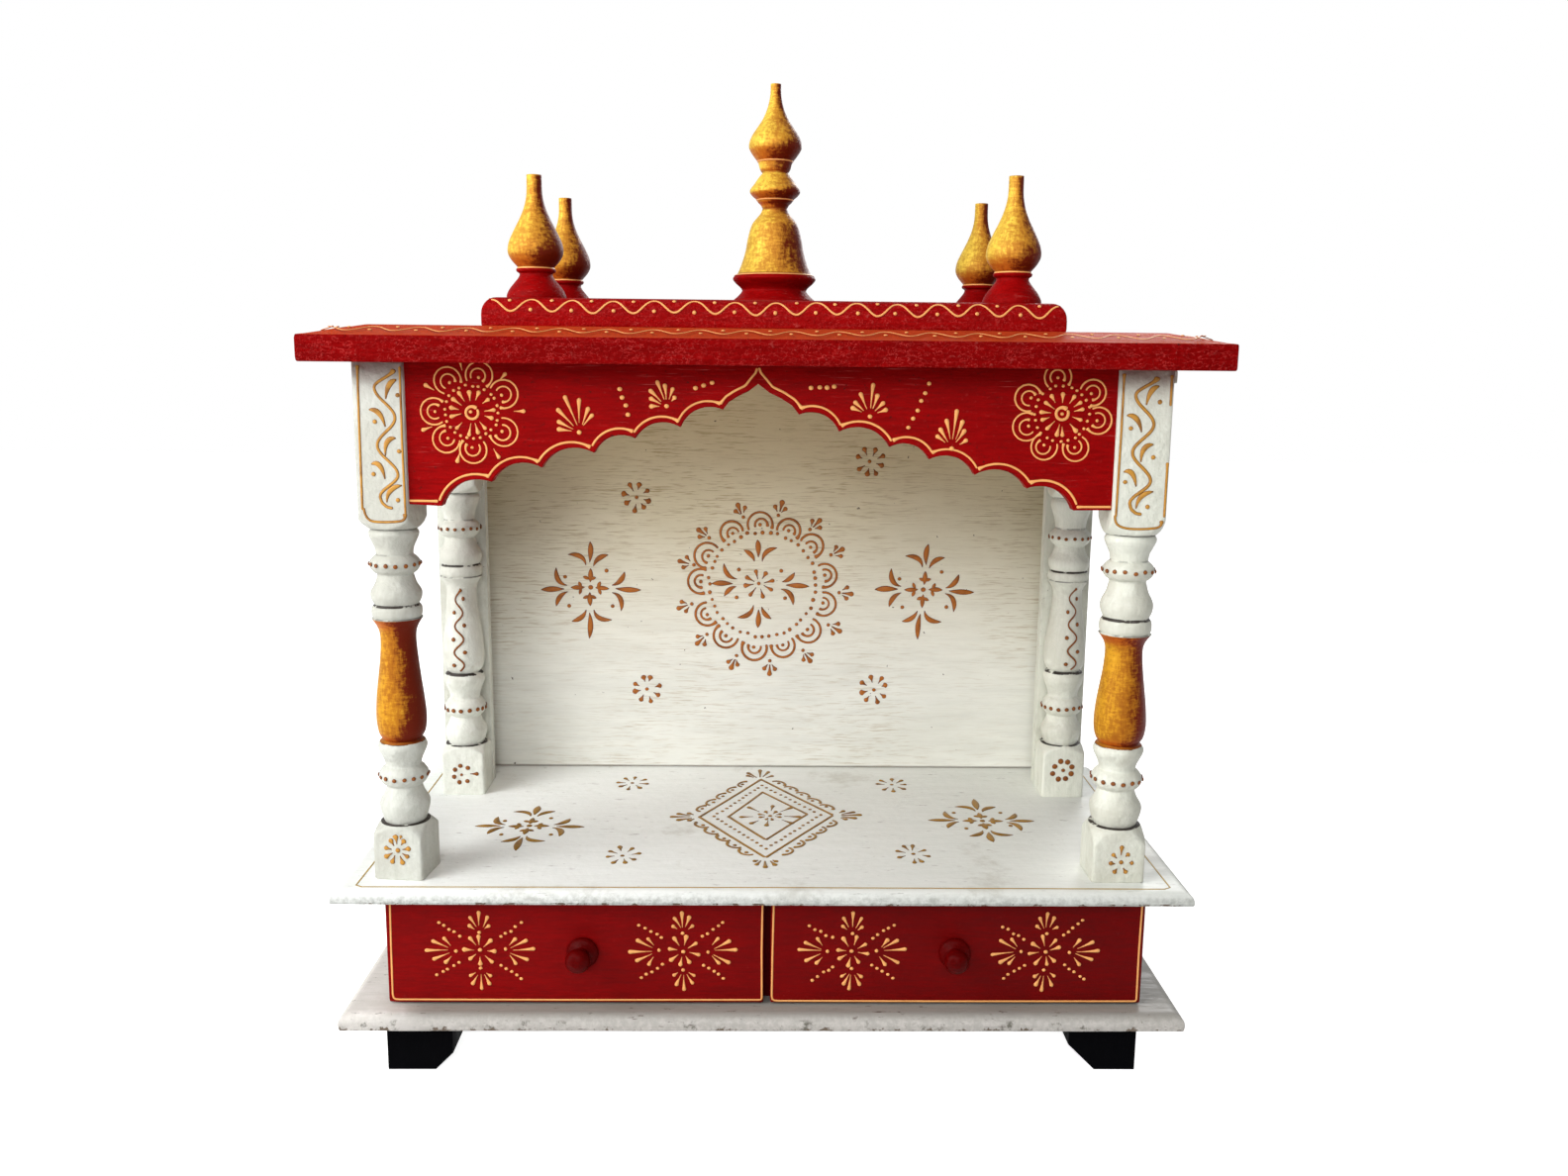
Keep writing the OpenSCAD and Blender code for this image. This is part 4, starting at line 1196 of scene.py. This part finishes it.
# Its rows of dots: start, end, number and radius
ARCH_DOTS = (((-101.5, 498), (-95.7, 480.5), 4, 1.7), ((-49.6, 499.3), (-38.3, 502.3), 3, 1.7),
             ((28.8, 500.1), (44.9, 500.2), 4, 1.7), ((109, 503), (95.7, 474), 6, 1.55))


def draw_capital(work, name, low, high):
    """Pipes a front capital: its vine, then a frame line down the left side, one round the
    foot and one down the right side, which breaks off and starts again on the right column."""
    half, top = sizes().line / MM, high[2]
    edge, bottom = (high[0] - low[0]) / 2 - 1.3, top - FRONT_BLOCKS[1] + 6
    vine_x, start_x, inset, lean = CAPITAL_HANDS[name]
    left = -edge + inset
    work.add([(path + np.outer(path[:, 1], (-lean, 0)), wide) for path, wide in vine(work.rng)],
             vine_x, top)
    foot = smooth_curve([[left, bottom + 9], [left + 2, bottom + 2.5], [-5, bottom - 0.5],
                         [edge - 3, bottom + 0.5], [edge - 0.5, bottom + 5.5]])
    work.add([line([[-edge + start_x, top - 2], [left + 0.5, 470], [left, bottom + 8]], half, 1.8,
                   3.0), line(foot[::-1], half, 1.9)])
    right = [[[edge, top - 3], [edge - 0.4, 460], [edge, bottom + 4]]]
    if name == "column_front_right":
        right = [[[edge, top - 3], [edge + 0.2, top - 24]], [[edge, 452], [edge, bottom + 8]]]
    work.add([line(points, half, 1.4, 3.0) for points in right])


def block_flowers(rng):
    """The small flowers on the base blocks, in the order of the columns."""
    return (
        flower(rng, 9, 4.4, 11, 2.0, 1.8, 10) + [drop(-1, 8, 1.75, 3, 1.3),
                                                 drop(3, 8, 1.3, 3, 1.3)],
        spread_fan(rng, (90, 50, 130, -5, 185, -60, 240), (12.5, 9.5, 9.5, 9, 9, 9.5, 9.5), 1.75),
        [dot(0, 0, 1.3), drop(7, 0.5, 0.0, 7.5, 1.9)]
        + dots_round((50, 100, 150, 200, 250, 305), 7.8, 2.0),
        [dot(0, 0, 1.7)] + dots_round(np.arange(20, 380, 45), 8, 2.4),
    )


def draw_rings(k, name, x, y, foot):
    """Pipes two rings of dots round a column's turning, and on a back column a sine line
    with a dot in each bend between them."""
    stout, spin = COLUMN_FORMS[name]
    rows = column_rows(name)[0]
    back = "back" in name
    base_h = (BACK_BLOCKS if back else FRONT_BLOCKS)[0]
    wrap = round_turning(x, y, foot + rows[:, 0] + np.arange(len(rows)) * 1e-6,
                         stout * np.minimum(rows[:, 1], 19))
    rings = ConeWork(name + "_dots", wrap, 30 + k)
    for up, size in ((34.5, RING_DOTS[k]), (183 if back else 191, 1.6)):
        z = foot + np.interp(base_h + up, *COLUMN_STRETCH[name])
        rings.add([dot(WRAP_RADIUS * np.radians(a + spin), z, size)
                   for a in np.arange(-180, 180, 22.5)])
    if back:
        z = foot + np.interp(base_h + 64, *COLUMN_STRETCH[name])
        over, pitch = BACK_VINES_AT[k], 11.2
        t = np.linspace(0, 6.3, 60)
        rings.add([line(np.stack([over + 4.2 * np.sin(np.pi * t), z + t * pitch], -1)[::-1], 0.8,
                        2.2)])
        rings.add([dot(over - 5.2 * (-1) ** j, z + pitch * (j + 0.5), 1.9) for j in range(6)])
    rings.lay("cone_on_column")


# ---------------------------------------------------------------- operators


class PaintOperator(bpy.types.Operator):
    """Mix the paints and materials of all pieces"""

    bl_idname = "temple.mix_paints"
    bl_label = "Mix Paints"

    def execute(self, context):
        make_brush_group()
        make_wear_group()
        make_stain_group()
        p = paints()
        # The deck is painted lighter at its left end and darker at its right, painted light and
        # shade
        mix_white("board_white", p.white, "x", streaks=0.3, grime=0.35, lumps=0.25, edge_tone=0.43,
                  shades=(1.1, 0.88), chipped=0.42, soil=0.35)
        # The bottom board gets painted light on its left end and painted shade in front of the
        # drawers, under the deck
        mix_white("bottom_white", rgba(p.white, 1, 0.93, 0.93), "x", streaks=0.7, grime=0.95,
                  lumps=0.3, edge_tone=0.6, shades=(1.1, 0.42), ends=(-0.29, -0.24),
                  chipped=0.45, soil=0.9)
        # Painted shade darkens the front left column; the back columns and stiles get lighter
        # copies of the column white, painted light
        mix_white("column_white", p.column_white, "z", 0.5, 0.6, 0.9, shades=(0.86, 1.02))
        mix_white("back_column_white", rgba(p.column_white, 1.15), "z", 0.5, 0.6, 0.9)
        mix_white("side_white", rgba(p.column_white, 1.1), "z", 0.5, 0.5, 0.4)
        mix_panel("panel_white", p.panel_white, p.panel_brown)
        # The roof is the red at two thirds, darker than the tier, a shaded copy of the one red,
        # painted shade
        mix_red("roof_red", rgba(p.red, 0.66), "x", pebble=0.8, gloss=0.4, shine=0.015,
                fade=0.97, glints=0.55, top=0.7)
        mix_red("tier_red", rgba(p.red, 0.95), "x", pebble=0.8, gloss=0.36, fade=0.95, glints=0.5)
        mix_red("arch_red", rgba(p.red, 0.86), "x", pebble=0.2, gloss=0.38, ridges=0.9,
                fade=0.95, scratch_and_glint=0.6)
        # fade darkens the drawers towards the right, a painted shade
        mix_red("drawer_red", p.drawer_red, "x", pebble=0.12, gloss=0.42, shine=0.06, ridges=0.4,
                fade=0.6)
        mix_red("box_red", rgba(p.drawer_red, 0.3), "y", pebble=0.2, gloss=0.45)
        mix_red("knob_red", rgba(p.drawer_red, 0.4), "x", pebble=0.2, gloss=0.25)
        # The second colour of each gold is its painted shade
        mix_gold("finial_gold", p.gold, (0.62, 0.27, 0.025, 1))
        mix_gold("vase_gold", p.vase_gold, (0.44, 0.16, 0.01, 1))
        # The cone edge colours are partly a darker paint edge, partly painted shade at a stroke's
        # foot
        brown_edge_and_shade = (0.1, 0.022, 0.005, 1)
        mix_cone("cone_on_white", p.cone_on_white, brown_edge_and_shade, dark=0.5, rim=0.2)
        mix_cone("cone_on_column", rgba(p.cone_on_white, 0.6), brown_edge_and_shade, dark=0.4, rim=0.15)
        mix_cone("cone_on_capital", p.cone_on_capital, (0.14, 0.04, 0.006, 1), dark=0.6, rim=0.2)
        mix_cone("cone_on_deck", p.cone_on_deck, (0.1, 0.04, 0.006, 1), dark=0.6, rim=0.12)
        mix_cone("cone_on_red", p.cone_on_red, (0.34, 0.05, 0.012, 1), dark=0.15)
        mix_cone("cone_gold", (0.4, 0.25, 0.02), (0.22, 0.12, 0.012, 1))
        mix_black()
        mix_bare_wood()
        return {"FINISHED"}


class FeetOperator(bpy.types.Operator):
    """Make the four black feet, each with its chamfered inner corner"""

    bl_idname = "temple.make_feet"
    bl_label = "Make Feet"

    def execute(self, context):
        for name, chamfer in (("foot_front_left", 13), ("foot_front_right", 20),
                              ("foot_back_left", 13), ("foot_back_right", 20)):
            (x0, y0, z0), (x1, y1, z1) = cad_box(name)
            if x0 > 0:
                x0 -= 2.3  # the right feet reach further in
                outline = [[x0 + chamfer, z0], [x1, z0], [x1, z1], [x0, z1], [x0, z0 + chamfer]]
            else:
                outline = [[x0, z0], [x1 - chamfer, z0], [x1, z0 + chamfer], [x1, z1], [x0, z1]]
            cut_board("painted_" + name, np.array(outline, float), y0, y1, "black_paint",
                      "foot_black", [name], 0.9)
        return {"FINISHED"}


class BoardsOperator(bpy.types.Operator):
    """Make the bottom board and the deck with their rounded, chipped upper edges"""

    bl_idname = "temple.make_boards"
    bl_label = "Make Boards"

    def execute(self, context):
        turn = np.radians(np.linspace(0, 90, 7))
        for name, seed, short, paint in (("bottom_board", 5, 1.1, "bottom_white"),
                                         ("deck_board", 8, 0.0, "board_white")):
            low, high = cad_box(name)
            thick = high[2] - low[2]
            section = [(0, 1.0, 0.3), (0.2, 0.4, 1.0), (0.7, 0.1, 1.0), (1.9, 0, 0.8)]
            section += [(thick - 7.5 + 7.5 * np.sin(a), 7.5 * (1 - np.cos(a)), 0.2) for a in turn]
            section += [(thick, 9.5, 0.0)]
            carve_board("painted_" + name, (low + [short, 0, 0], high - [short, 0, 0]), section,
                        "temple", "white_paint", paint, np.random.default_rng(seed), [name],
                        back=0.12, spacing=9, wobble=0.5)
        return {"FINISHED"}


class BoxOperator(bpy.types.Operator):
    """Make the walls of the drawer box"""

    bl_idname = "temple.make_box"
    bl_label = "Make Drawer Box"

    def execute(self, context):
        rng = np.random.default_rng(21)
        for name in ("box_side_left", "box_side_right", "box_divider"):
            plank(name, "temple", "dark_red_paint", "box_red", rng)
        plank("box_back", "temple", "white_paint", "board_white", rng)
        return {"FINISHED"}


class DrawersOperator(bpy.types.Operator):
    """Make both drawers: red front, turned knob and a bare wood tray"""

    bl_idname = "temple.make_drawers"
    bl_label = "Make Drawers"

    def execute(self, context):
        rng = np.random.default_rng(34)
        rows, owner, groove = bead_rows(KNOB)
        for body in ("drawer_left", "drawer_right"):
            plank(body + "_front", body, "dark_red_paint", "drawer_red", rng)
            for part in ("outer_side", "inner_side", "back", "bottom"):
                plank(f"{body}_{part}", body, "bare_wood", "tray_wood", rng, 0.5)
            (x0, _, z0), (x1, y1, z1) = cad_box(body + "_knob")
            axis = ((x0 + x1) / 2 + 3.6, y1, (z0 + z1) / 2 + 2.6)
            turn_piece(f"turned_{body}_knob", rows, owner, groove, axis, body, "dark_red_paint",
                       ["knob_red"], lambda k: 0, [body + "_knob"], rng, 40, (-0.07, -0.99, 0.09))
        return {"FINISHED"}


class ColumnsOperator(bpy.types.Operator):
    """Make the four turned columns, the front two with gilded vases"""

    bl_idname = "temple.make_columns"
    bl_label = "Make Columns"

    def execute(self, context):
        rng = np.random.default_rng(55)
        for name in COLUMNS:
            turn_column(name, "front" in name, rng)
        return {"FINISHED"}


class WallOperator(bpy.types.Operator):
    """Make the back panel, its two stiles and the cleats under the roof"""

    bl_idname = "temple.make_wall"
    bl_label = "Make Back Wall"

    def execute(self, context):
        rng = np.random.default_rng(89)
        plank("back_panel", "temple", "white_paint", "panel_white", rng)
        for name in ("side_cleat_left", "side_cleat_right"):
            plank(name, "temple", "white_paint", "side_white", rng)
        for name, side in (("stile_left", -1), ("stile_right", 1)):
            (x0, y0, z0), (x1, y1, z1) = cad_box(name)
            inner, outer = (x0, x1) if side > 0 else (x1, x0)
            turn = outer - side * STILE_T
            plan = np.array([[inner, y0], [outer, y0], [outer, y1], [turn, y1],
                             [turn, y0 + STILE_T], [inner, y0 + STILE_T]])
            cut_board("painted_" + name, plan[::side], z0, z1, "white_paint", "side_white",
                      [name], 0.6, upright=True)
        return {"FINISHED"}


class ArchOperator(bpy.types.Operator):
    """Saw the lobed arch board"""

    bl_idname = "temple.make_arch"
    bl_label = "Make Arch"

    def execute(self, context):
        top, low = ARCH[1][2], ARCH[0][2]
        x0, x1 = ARCH[0][0] - 3, ARCH[1][0]
        halves = []
        for side in (-1, 1):
            parts, cusps = arch_points(side)
            halves.append(np.concatenate([*parts, cusps[-1:]]) + [ARCH_X, top])
        outline = np.concatenate([[[x0, low]], halves[0][:0:-1], halves[1],
                                  [[x1, low], [x1, top], [x0, top]]])
        cut_board("sawn_arch", outline, ARCH[0][1], ARCH[1][1], "red_paint", "arch_red",
                  ["front_arch"])
        return {"FINISHED"}


class RoofOperator(bpy.types.Operator):
    """Make the roof board with its sloped border, and the tier"""

    bl_idname = "temple.make_roof"
    bl_label = "Make Roof"

    def execute(self, context):
        edge, top = ROOF_EDGE_H, ROOF[1][2] - ROOF[0][2]
        roof = [(0, 1.0, 0.4), (0.35, 0.3, 0.9), (1, 0, 0.9), (3, 0, 0.1), (edge - 2.5, 0, 0.1),
                (edge - 0.8, 0, 0.9), (edge - 0.1, 0.4, 1.0), (edge + 0.2, 2, 0.6),
                (edge + 0.6, 5, 0.0), (top - 0.2, 35.4, 0.0), (top, 37, 0.0)]
        carve_board("painted_roof", ROOF, roof, "temple", "red_paint", "roof_red",
                    np.random.default_rng(3), ["roof_board"], spacing=12, wobble=0.6)
        rise, run = TIER_EDGE
        turn = np.radians(np.linspace(0, 90, 8))
        tier = [(0, 0.6, 0.4), (0.6, 0, 0.9), (2, 0, 0.1), (TIER_T - 0.5 - rise, 0, 0.1)]
        tier += [(TIER_T - rise + rise * np.sin(a), run * (1 - np.cos(a)), 0.5) for a in turn]
        tier += [(TIER_T, run + 2, 0.0)]
        carve_board("painted_tier", TIER, tier, "temple", "red_paint", "tier_red",
                    np.random.default_rng(4), ["roof_tier"], spacing=18, wobble=0.3)
        return {"FINISHED"}


class FinialsOperator(bpy.types.Operator):
    """Turn the five finials, gold on red feet"""

    bl_idname = "temple.make_finials"
    bl_label = "Make Finials"

    def execute(self, context):
        rng = np.random.default_rng(144)
        for name in ("finial_centre", *CORNER_FINIALS):
            rows, owner, groove, foot, _ = finial_rows(name)
            turn_piece("turned_" + name, rows, owner, groove, foot, "temple", "gold_paint",
                       ["finial_gold", "arch_red"], lambda k: int(k == 0), [name], rng)
        return {"FINISHED"}


class PanelWorkOperator(bpy.types.Operator):
    """Pipe the mandala, sprays and flowers on the back panel"""

    bl_idname = "temple.pipe_panel"
    bl_label = "Pipe Back Panel"

    def execute(self, context):
        work = ConeWork("panel_cone_work", front_plane(PANEL[0][1]), 7)
        work.add(mandala(work.rng), *MANDALA_AT)
        for place in PANEL_SPRAYS:
            work.add(spray(work.rng), *place)
        for place in PANEL_FLOWERS:
            work.add(flower(work.rng, 8, 6.5, 14, 2.5, 1.7, work.rng.uniform(0, 45)), *place)
        work.lay("cone_on_white")
        return {"FINISHED"}


class DeckWorkOperator(bpy.types.Operator):
    """Pipe the rhombus, sprays, flowers and border line on the deck"""

    bl_idname = "temple.pipe_deck"
    bl_label = "Pipe Deck"

    def execute(self, context):
        z = DECK[1][2]
        work = ConeWork("deck_cone_work", on_plane((0, 0, z), (1, 0, 0), (0, 1, 0)), 9)
        rng = work.rng
        outer, inner = RHOMBUS
        for corners in RHOMBUS:
            for a, b in zip(corners, corners[1:]):
                work.add([line([a, (a + b) / 2 + rng.normal(0, 0.5, 2), b], 1.15, 1.2)])
        middle = (outer + inner) / 2
        for a, b in zip(middle, middle[1:]):
            work.add(dots(a, a + (b - a) * 11 / 12, 12, 1.5))
        centre = np.array([1.0, 13.5])
        for a, b in zip(outer, outer[1:]):
            chord = b - a
            turn = np.degrees(np.arctan2(chord[1], chord[0]))
            away = np.array([chord[1], -chord[0]]) / np.linalg.norm(chord)
            for k in range(5):
                at = a + chord * (0.17 + 0.165 * k) + away * 6.5
                work.add([arc(0, 0, 7.6, 195, 372, 1.1, 1.6, 0.75), dot(1.0, -1.0, 1.7)],
                         *at, turn)
        for corner, reach in zip(outer[:4], (24, 21, 25, 28)):
            turn = np.degrees(np.arctan2(*(corner - centre)[::-1])) - 90
            work.add(fan(rng, opened(reach), 95, 7, 2.2, 0.01, 0.6)[1:], *corner, turn)
        middle = centre + [3.5, 0.5]
        work.add(flower(rng, 8, 13, 27, 2.2, 1.8, 0), *middle)
        work.add(flower(rng, 8, 5, 11, 1.8, 0, 22), *middle)
        for place in DECK_SPRAYS:
            work.add([(p * [0.98, 1.12], h * 1.15) for p, h in spray(rng)], *place)
        for place in DECK_FLOWERS:
            drops = flower(rng, 8, 6, 14, 2.0, 1.7, rng.uniform(0, 45))
            work.add([(p * [1, 1.35], h) for p, h in drops], *place)
        work.lay("cone_on_deck")
        border = ConeWork("deck_border_line", work.place, 10)
        front, back = DECK[0][1] + 9.8, DECK[1][1] - 6
        left, right = DECK[0][0] + 16.2, DECK[1][0] - 14.5
        border.add([line([[left, back], [left + 1, 0], [left, front], [0, front + 0.8],
                          [right, front], [right - 1, 0], [right, back]], 0.6, 1.2, 8.0)])
        border.lay("cone_gold")
        return {"FINISHED"}


class ArchWorkOperator(bpy.types.Operator):
    """Pipe the rosettes, fans, dots and outline on the arch"""

    bl_idname = "temple.pipe_arch"
    bl_label = "Pipe Arch"

    def execute(self, context):
        work = ConeWork("arch_cone_work", front_plane(ARCH[0][1]), 11)
        rng = work.rng
        work.add(rosette(rng, (180, 126, 76, 28, -32, -90, -134),
                         (149, 101, 48, 1, -60, -108, -160), 17.9, 25), -201.6, 481.3)
        work.add(rosette(rng, (99, 36, -10, -66, -117, -159, 155), (), 19, 24), 200.4, 483.9)
        for x, z, angles, lengths in ARCH_FANS:
            work.add(spread_fan(rng, angles, lengths), x, z)
        for row in ARCH_DOTS:
            work.add(dots(*row))
        top, half = ARCH[1][2], sizes().line / MM
        for side in (-1, 1):
            parts, cusps = arch_points(side)
            shift = np.array([ARCH_X + 1.6 * side, top + 4.2])
            ogee = np.concatenate([parts[0], cusps[:1]]) + shift
            ogee[0, 0] -= 1.3 * side
            rise = ogee[0] + np.array([[0, 6.8], [1.2 * side, 3.4], [4.0 * side, 0.2]])
            ogee = np.concatenate([rise, ogee[1:]])
            work.add([line(ogee[::-1], half, 1.6)])
            for points, end in zip(parts[1:], cusps[1:]):
                lobe = np.concatenate([points, [end]]) + shift
                lobe[:, 0] = np.clip(lobe[:, 0], ARCH[0][0], ARCH[1][0] - 2)
                work.add([line(lobe, half, 1.9)])
            end = cusps[-1] + shift
            edge = ARCH[1][0] - 1.5 if side > 0 else ARCH[0][0] - 1.5
            end[1] -= 1.6
            work.add([line([end, [edge, end[1] + 0.2]], half, 1.4)])
        work.lay("cone_on_red")
        return {"FINISHED"}


class ColumnWorkOperator(bpy.types.Operator):
    """Pipe the capitals, the block flowers, the dotted rings and the back columns' vines"""

    bl_idname = "temple.pipe_columns"
    bl_label = "Pipe Columns"

    def execute(self, context):
        for k, name in enumerate(COLUMNS):
            low, high = cad_box(name)
            x, y = (low[0] + high[0]) / 2, (low[1] + high[1]) / 2
            stout, spin = COLUMN_FORMS[name]
            turned = np.array([np.cos(np.radians(spin)), np.sin(np.radians(spin)), 0])
            reach = stout * (high[0] - low[0]) / 2
            front = on_plane((x + reach * turned[1], y - reach * turned[0], 0), turned, (0, 0, 1))
            work = ConeWork(name + "_cone_work", front, 20 + k)
            if name in CAPITAL_HANDS:
                draw_capital(work, name, low, high)
            over, up = BLOCK_FLOWERS_AT[k]
            work.add(block_flowers(work.rng)[k], over, low[2] + up)
            work.lay("cone_on_capital" if name in CAPITAL_HANDS else "cone_on_column")
            draw_rings(k, name, x, y, low[2])
        return {"FINISHED"}


class DrawerWorkOperator(bpy.types.Operator):
    """Pipe two star flowers and a frame line on each drawer front"""

    bl_idname = "temple.pipe_drawers"
    bl_label = "Pipe Drawers"

    def execute(self, context):
        for body, centres, seed in (("drawer_left", (-206, -59), 41),
                                    ("drawer_right", (64, 205.6), 42)):
            low, high = cad_box(body + "_front")
            work = ConeWork(body + "_cone_work", front_plane(low[1]), seed)
            rng = work.rng
            z = (low[2] + high[2]) / 2 - 0.3
            for x in centres:
                work.add(flower(rng, 8, 4.2, 12.5, 1.75, 1.6, rng.uniform(0, 45)), x, z)
                middle = np.array([x, z])
                for turn, base, reach in ((0, 14, 17), (90, 18, 22), (180, 14, 17), (270, 18, 22)):
                    work.add(fan(rng, opened(reach), 105, 4.5, 1.55, 1.4, 0.35),
                             *middle + polar(base, np.radians(turn + 90)), turn)
                for turn in (40, 142, 220, 320):
                    way = polar(1.0, np.radians(turn + rng.normal(0, 3)))
                    work.add(dots(middle + way * [19, 17], middle + way * [39, 33], 5, 1.3))
            # The frame keeps further from the outer side of the pair
            outer, inner = 2.6, 1.3
            left, right = (outer, inner) if body == "drawer_left" else (inner, outer)
            x0, x1 = low[0] + left, high[0] - right
            z0, z1 = low[2] + 1.6, high[2] - 1.5
            work.add([line([[x0 + 0.9, z1], [x0 + 0.3, (z0 + z1) / 2], [x0, z0 + 4],
                            [x0 + 0.4, z0 + 1.5], [x0 + 1.5, z0 + 0.4], [x0 + 4, z0],
                            [(x0 + x1) / 2, z0 - 0.2], [x1 - 1, z0], [x1, z0 + 0.8],
                            [x1 - 0.4, (z0 + z1) / 2], [x1, z1]], sizes().line / MM * 0.85, 1.3)])
            work.lay("cone_on_red", body)
        return {"FINISHED"}


class RoofWorkOperator(bpy.types.Operator):
    """Pipe the waves round the tier's edge and the roof's border, and the finials' lines"""

    bl_idname = "temple.pipe_roof"
    bl_label = "Pipe Roof"

    def execute(self, context):
        for name, box, rise, run, height, period, swing, inset, up, half in (
                ("tier_wave", TIER, *TIER_EDGE, 8.0, 27.0, 4.5, 4.0, 6.0, 0.75),
                ("roof_wave", ROOF, 6.7, 31.0, 18.7, 31.0, 6.5, 14.0, 14.0, 0.62)):
            middle, reach = (box[0] + box[1]) / 2, (box[1] - box[0]) / 2
            for k, right in enumerate(((1, 0, 0), (0, 1, 0), (-1, 0, 0), (0, -1, 0))):
                inward = np.cross((0, 0, 1), right)
                origin = middle - inward * reach[1 - k % 2]
                origin[2] = box[0][2] + height
                slope = (inward * run + np.array([0, 0, rise])) / np.hypot(rise, run)
                place = on_plane(origin, right, slope)
                if box is TIER:
                    place = over_edge(origin, right, inward, rise, run)
                work = ConeWork(f"{name}_{k}", place, 60 + k)
                work.add([(path + [0, up], wide)
                          for path, wide in wave(2 * reach[k % 2] - 2 * inset - 4, period, swing,
                                                 half, 1.35, work.rng)])
                work.lay("cone_on_red")
        around = WRAP_RADIUS * np.radians(np.linspace(-180, 179, 90))
        for name in (*CORNER_FINIALS, "finial_centre"):
            rows, _, _, (x, y, z0), tall = finial_rows(name)
            rings = ConeWork(name + "_lines", round_turning(x, y, z0 + rows[:, 0], rows[:, 1]), 70)
            for z in (23, 76.8, 105) if name == "finial_centre" else (22.5,):
                rings.add([line(np.stack([around, np.full(90, z0 + tall * z)], -1), 0.5, 1.0,
                                1.3)])
            rings.lay("cone_on_red")
        return {"FINISHED"}


class StageOperator(bpy.types.Operator):
    """Set up the pale floor, the soft lights and the camera"""

    bl_idname = "temple.set_stage"
    bl_label = "Set Stage"

    def execute(self, context):
        scene = context.scene
        floor_mesh = bpy.data.meshes.new("floor")
        floor_mesh.from_pydata([(-6, -6, 0), (6, -6, 0), (6, 6, 0), (-6, 6, 0)], [], [(0, 1, 2, 3)])
        floor = add_object("floor", floor_mesh)
        graph = new_material("pale_floor")
        rays = graph.add("ShaderNodeLightPath")
        seen = graph.maths("MAXIMUM", rays.outputs["Is Camera Ray"], rays.outputs["Is Glossy Ray"])
        glow = graph.add("ShaderNodeEmission", {"Color": (1, 1, 1, 1),
                                                "Strength": graph.times(seen, 0.9)})
        matt = graph.add("ShaderNodeBsdfDiffuse", {"Color": (0.75, 0.75, 0.75, 1)})
        both = graph.add("ShaderNodeAddShader", {0: matt.outputs[0], 1: glow.outputs[0]})
        graph.add("ShaderNodeOutputMaterial", {"Surface": both.outputs[0]})
        floor_mesh.materials.append(bpy.data.materials["pale_floor"])

        world = bpy.data.worlds.new("studio")
        scene.world = world
        world.use_nodes = True
        graph = Graph(world.node_tree)
        rays = graph.add("ShaderNodeLightPath")
        seen = graph.maths("MAXIMUM", rays.outputs["Is Camera Ray"],
                           rays.outputs["Is Transmission Ray"])
        seen = graph.maths("MAXIMUM", seen, graph.times(rays.outputs["Is Glossy Ray"], 0.7))
        strength = graph.maths("MAXIMUM", seen, 0.2)
        back = graph.add("ShaderNodeBackground", {"Color": (1, 1, 1, 1), "Strength": strength})
        graph.add("ShaderNodeOutputWorld", {"Surface": back.outputs[0]})

        for name, (place, size, power) in LAMPS.items():
            light = bpy.data.lights.new(name, "AREA")
            light.shape, light.size, light.energy = "DISK", size, power
            lamp = add_object(name, light)
            lamp.location = place
            lamp.rotation_mode = "QUATERNION"
            lamp.rotation_quaternion = (LAMP_AIM - lamp.location).to_track_quat("-Z", "Y")

        yaw, pitch, roll = np.radians(CAMERA_TURN)
        ahead = np.array([np.sin(yaw) * np.cos(pitch), np.cos(yaw) * np.cos(pitch), -np.sin(pitch)])
        level = np.array([np.cos(yaw), -np.sin(yaw), 0])
        rise = np.cross(level, ahead)
        right = np.cos(roll) * level + np.sin(roll) * rise
        up = np.cos(roll) * rise - np.sin(roll) * level
        camera_data = bpy.data.cameras.new("camera")
        camera_data.sensor_width, camera_data.lens = 36.0, CAMERA_LENS
        camera_data.clip_start, camera_data.clip_end = 0.05, 50
        camera = add_object("camera", camera_data)
        turned = Matrix(np.stack([right, up, -ahead], -1).tolist())
        camera.matrix_world = Matrix.Translation(CAMERA_PLACE) @ turned.to_4x4()
        scene.camera = camera
        scene.view_settings.view_transform = "Standard"
        return {"FINISHED"}


OPERATORS = (PaintOperator, StageOperator, FeetOperator, BoardsOperator, BoxOperator,
             DrawersOperator, ColumnsOperator, WallOperator, ArchOperator, RoofOperator,
             FinialsOperator, PanelWorkOperator, DeckWorkOperator, ArchWorkOperator,
             ColumnWorkOperator, DrawerWorkOperator, RoofWorkOperator)


class TemplePanel(bpy.types.Panel):
    """Lists the steps, paints and sizes of the temple"""

    bl_idname = "VIEW3D_PT_temple"
    bl_label = "Home Temple"
    bl_space_type = "VIEW_3D"
    bl_region_type = "UI"
    bl_category = "Temple"

    def draw(self, context):
        for group in (context.scene.temple_paints, context.scene.temple_sizes):
            for key in group.bl_rna.properties.keys():
                if key not in ("rna_type", "name"):
                    self.layout.prop(group, key)
        for operator in OPERATORS:
            self.layout.operator(operator.bl_idname)


CLASSES = (TemplePaints, TempleSizes, *OPERATORS, TemplePanel)


def register():
    for cls in CLASSES:
        bpy.utils.register_class(cls)
    bpy.types.Scene.temple_paints = PointerProperty(type=TemplePaints)
    bpy.types.Scene.temple_sizes = PointerProperty(type=TempleSizes)


def unregister():
    del bpy.types.Scene.temple_sizes
    del bpy.types.Scene.temple_paints
    for cls in reversed(CLASSES):
        bpy.utils.unregister_class(cls)


def main():
    """Runs every step in order."""
    register()
    for operator in OPERATORS:
        group, step = operator.bl_idname.split(".")
        getattr(getattr(bpy.ops, group), step)()
    bpy.context.view_layer.update()


if __name__ == "__main__":
    main()
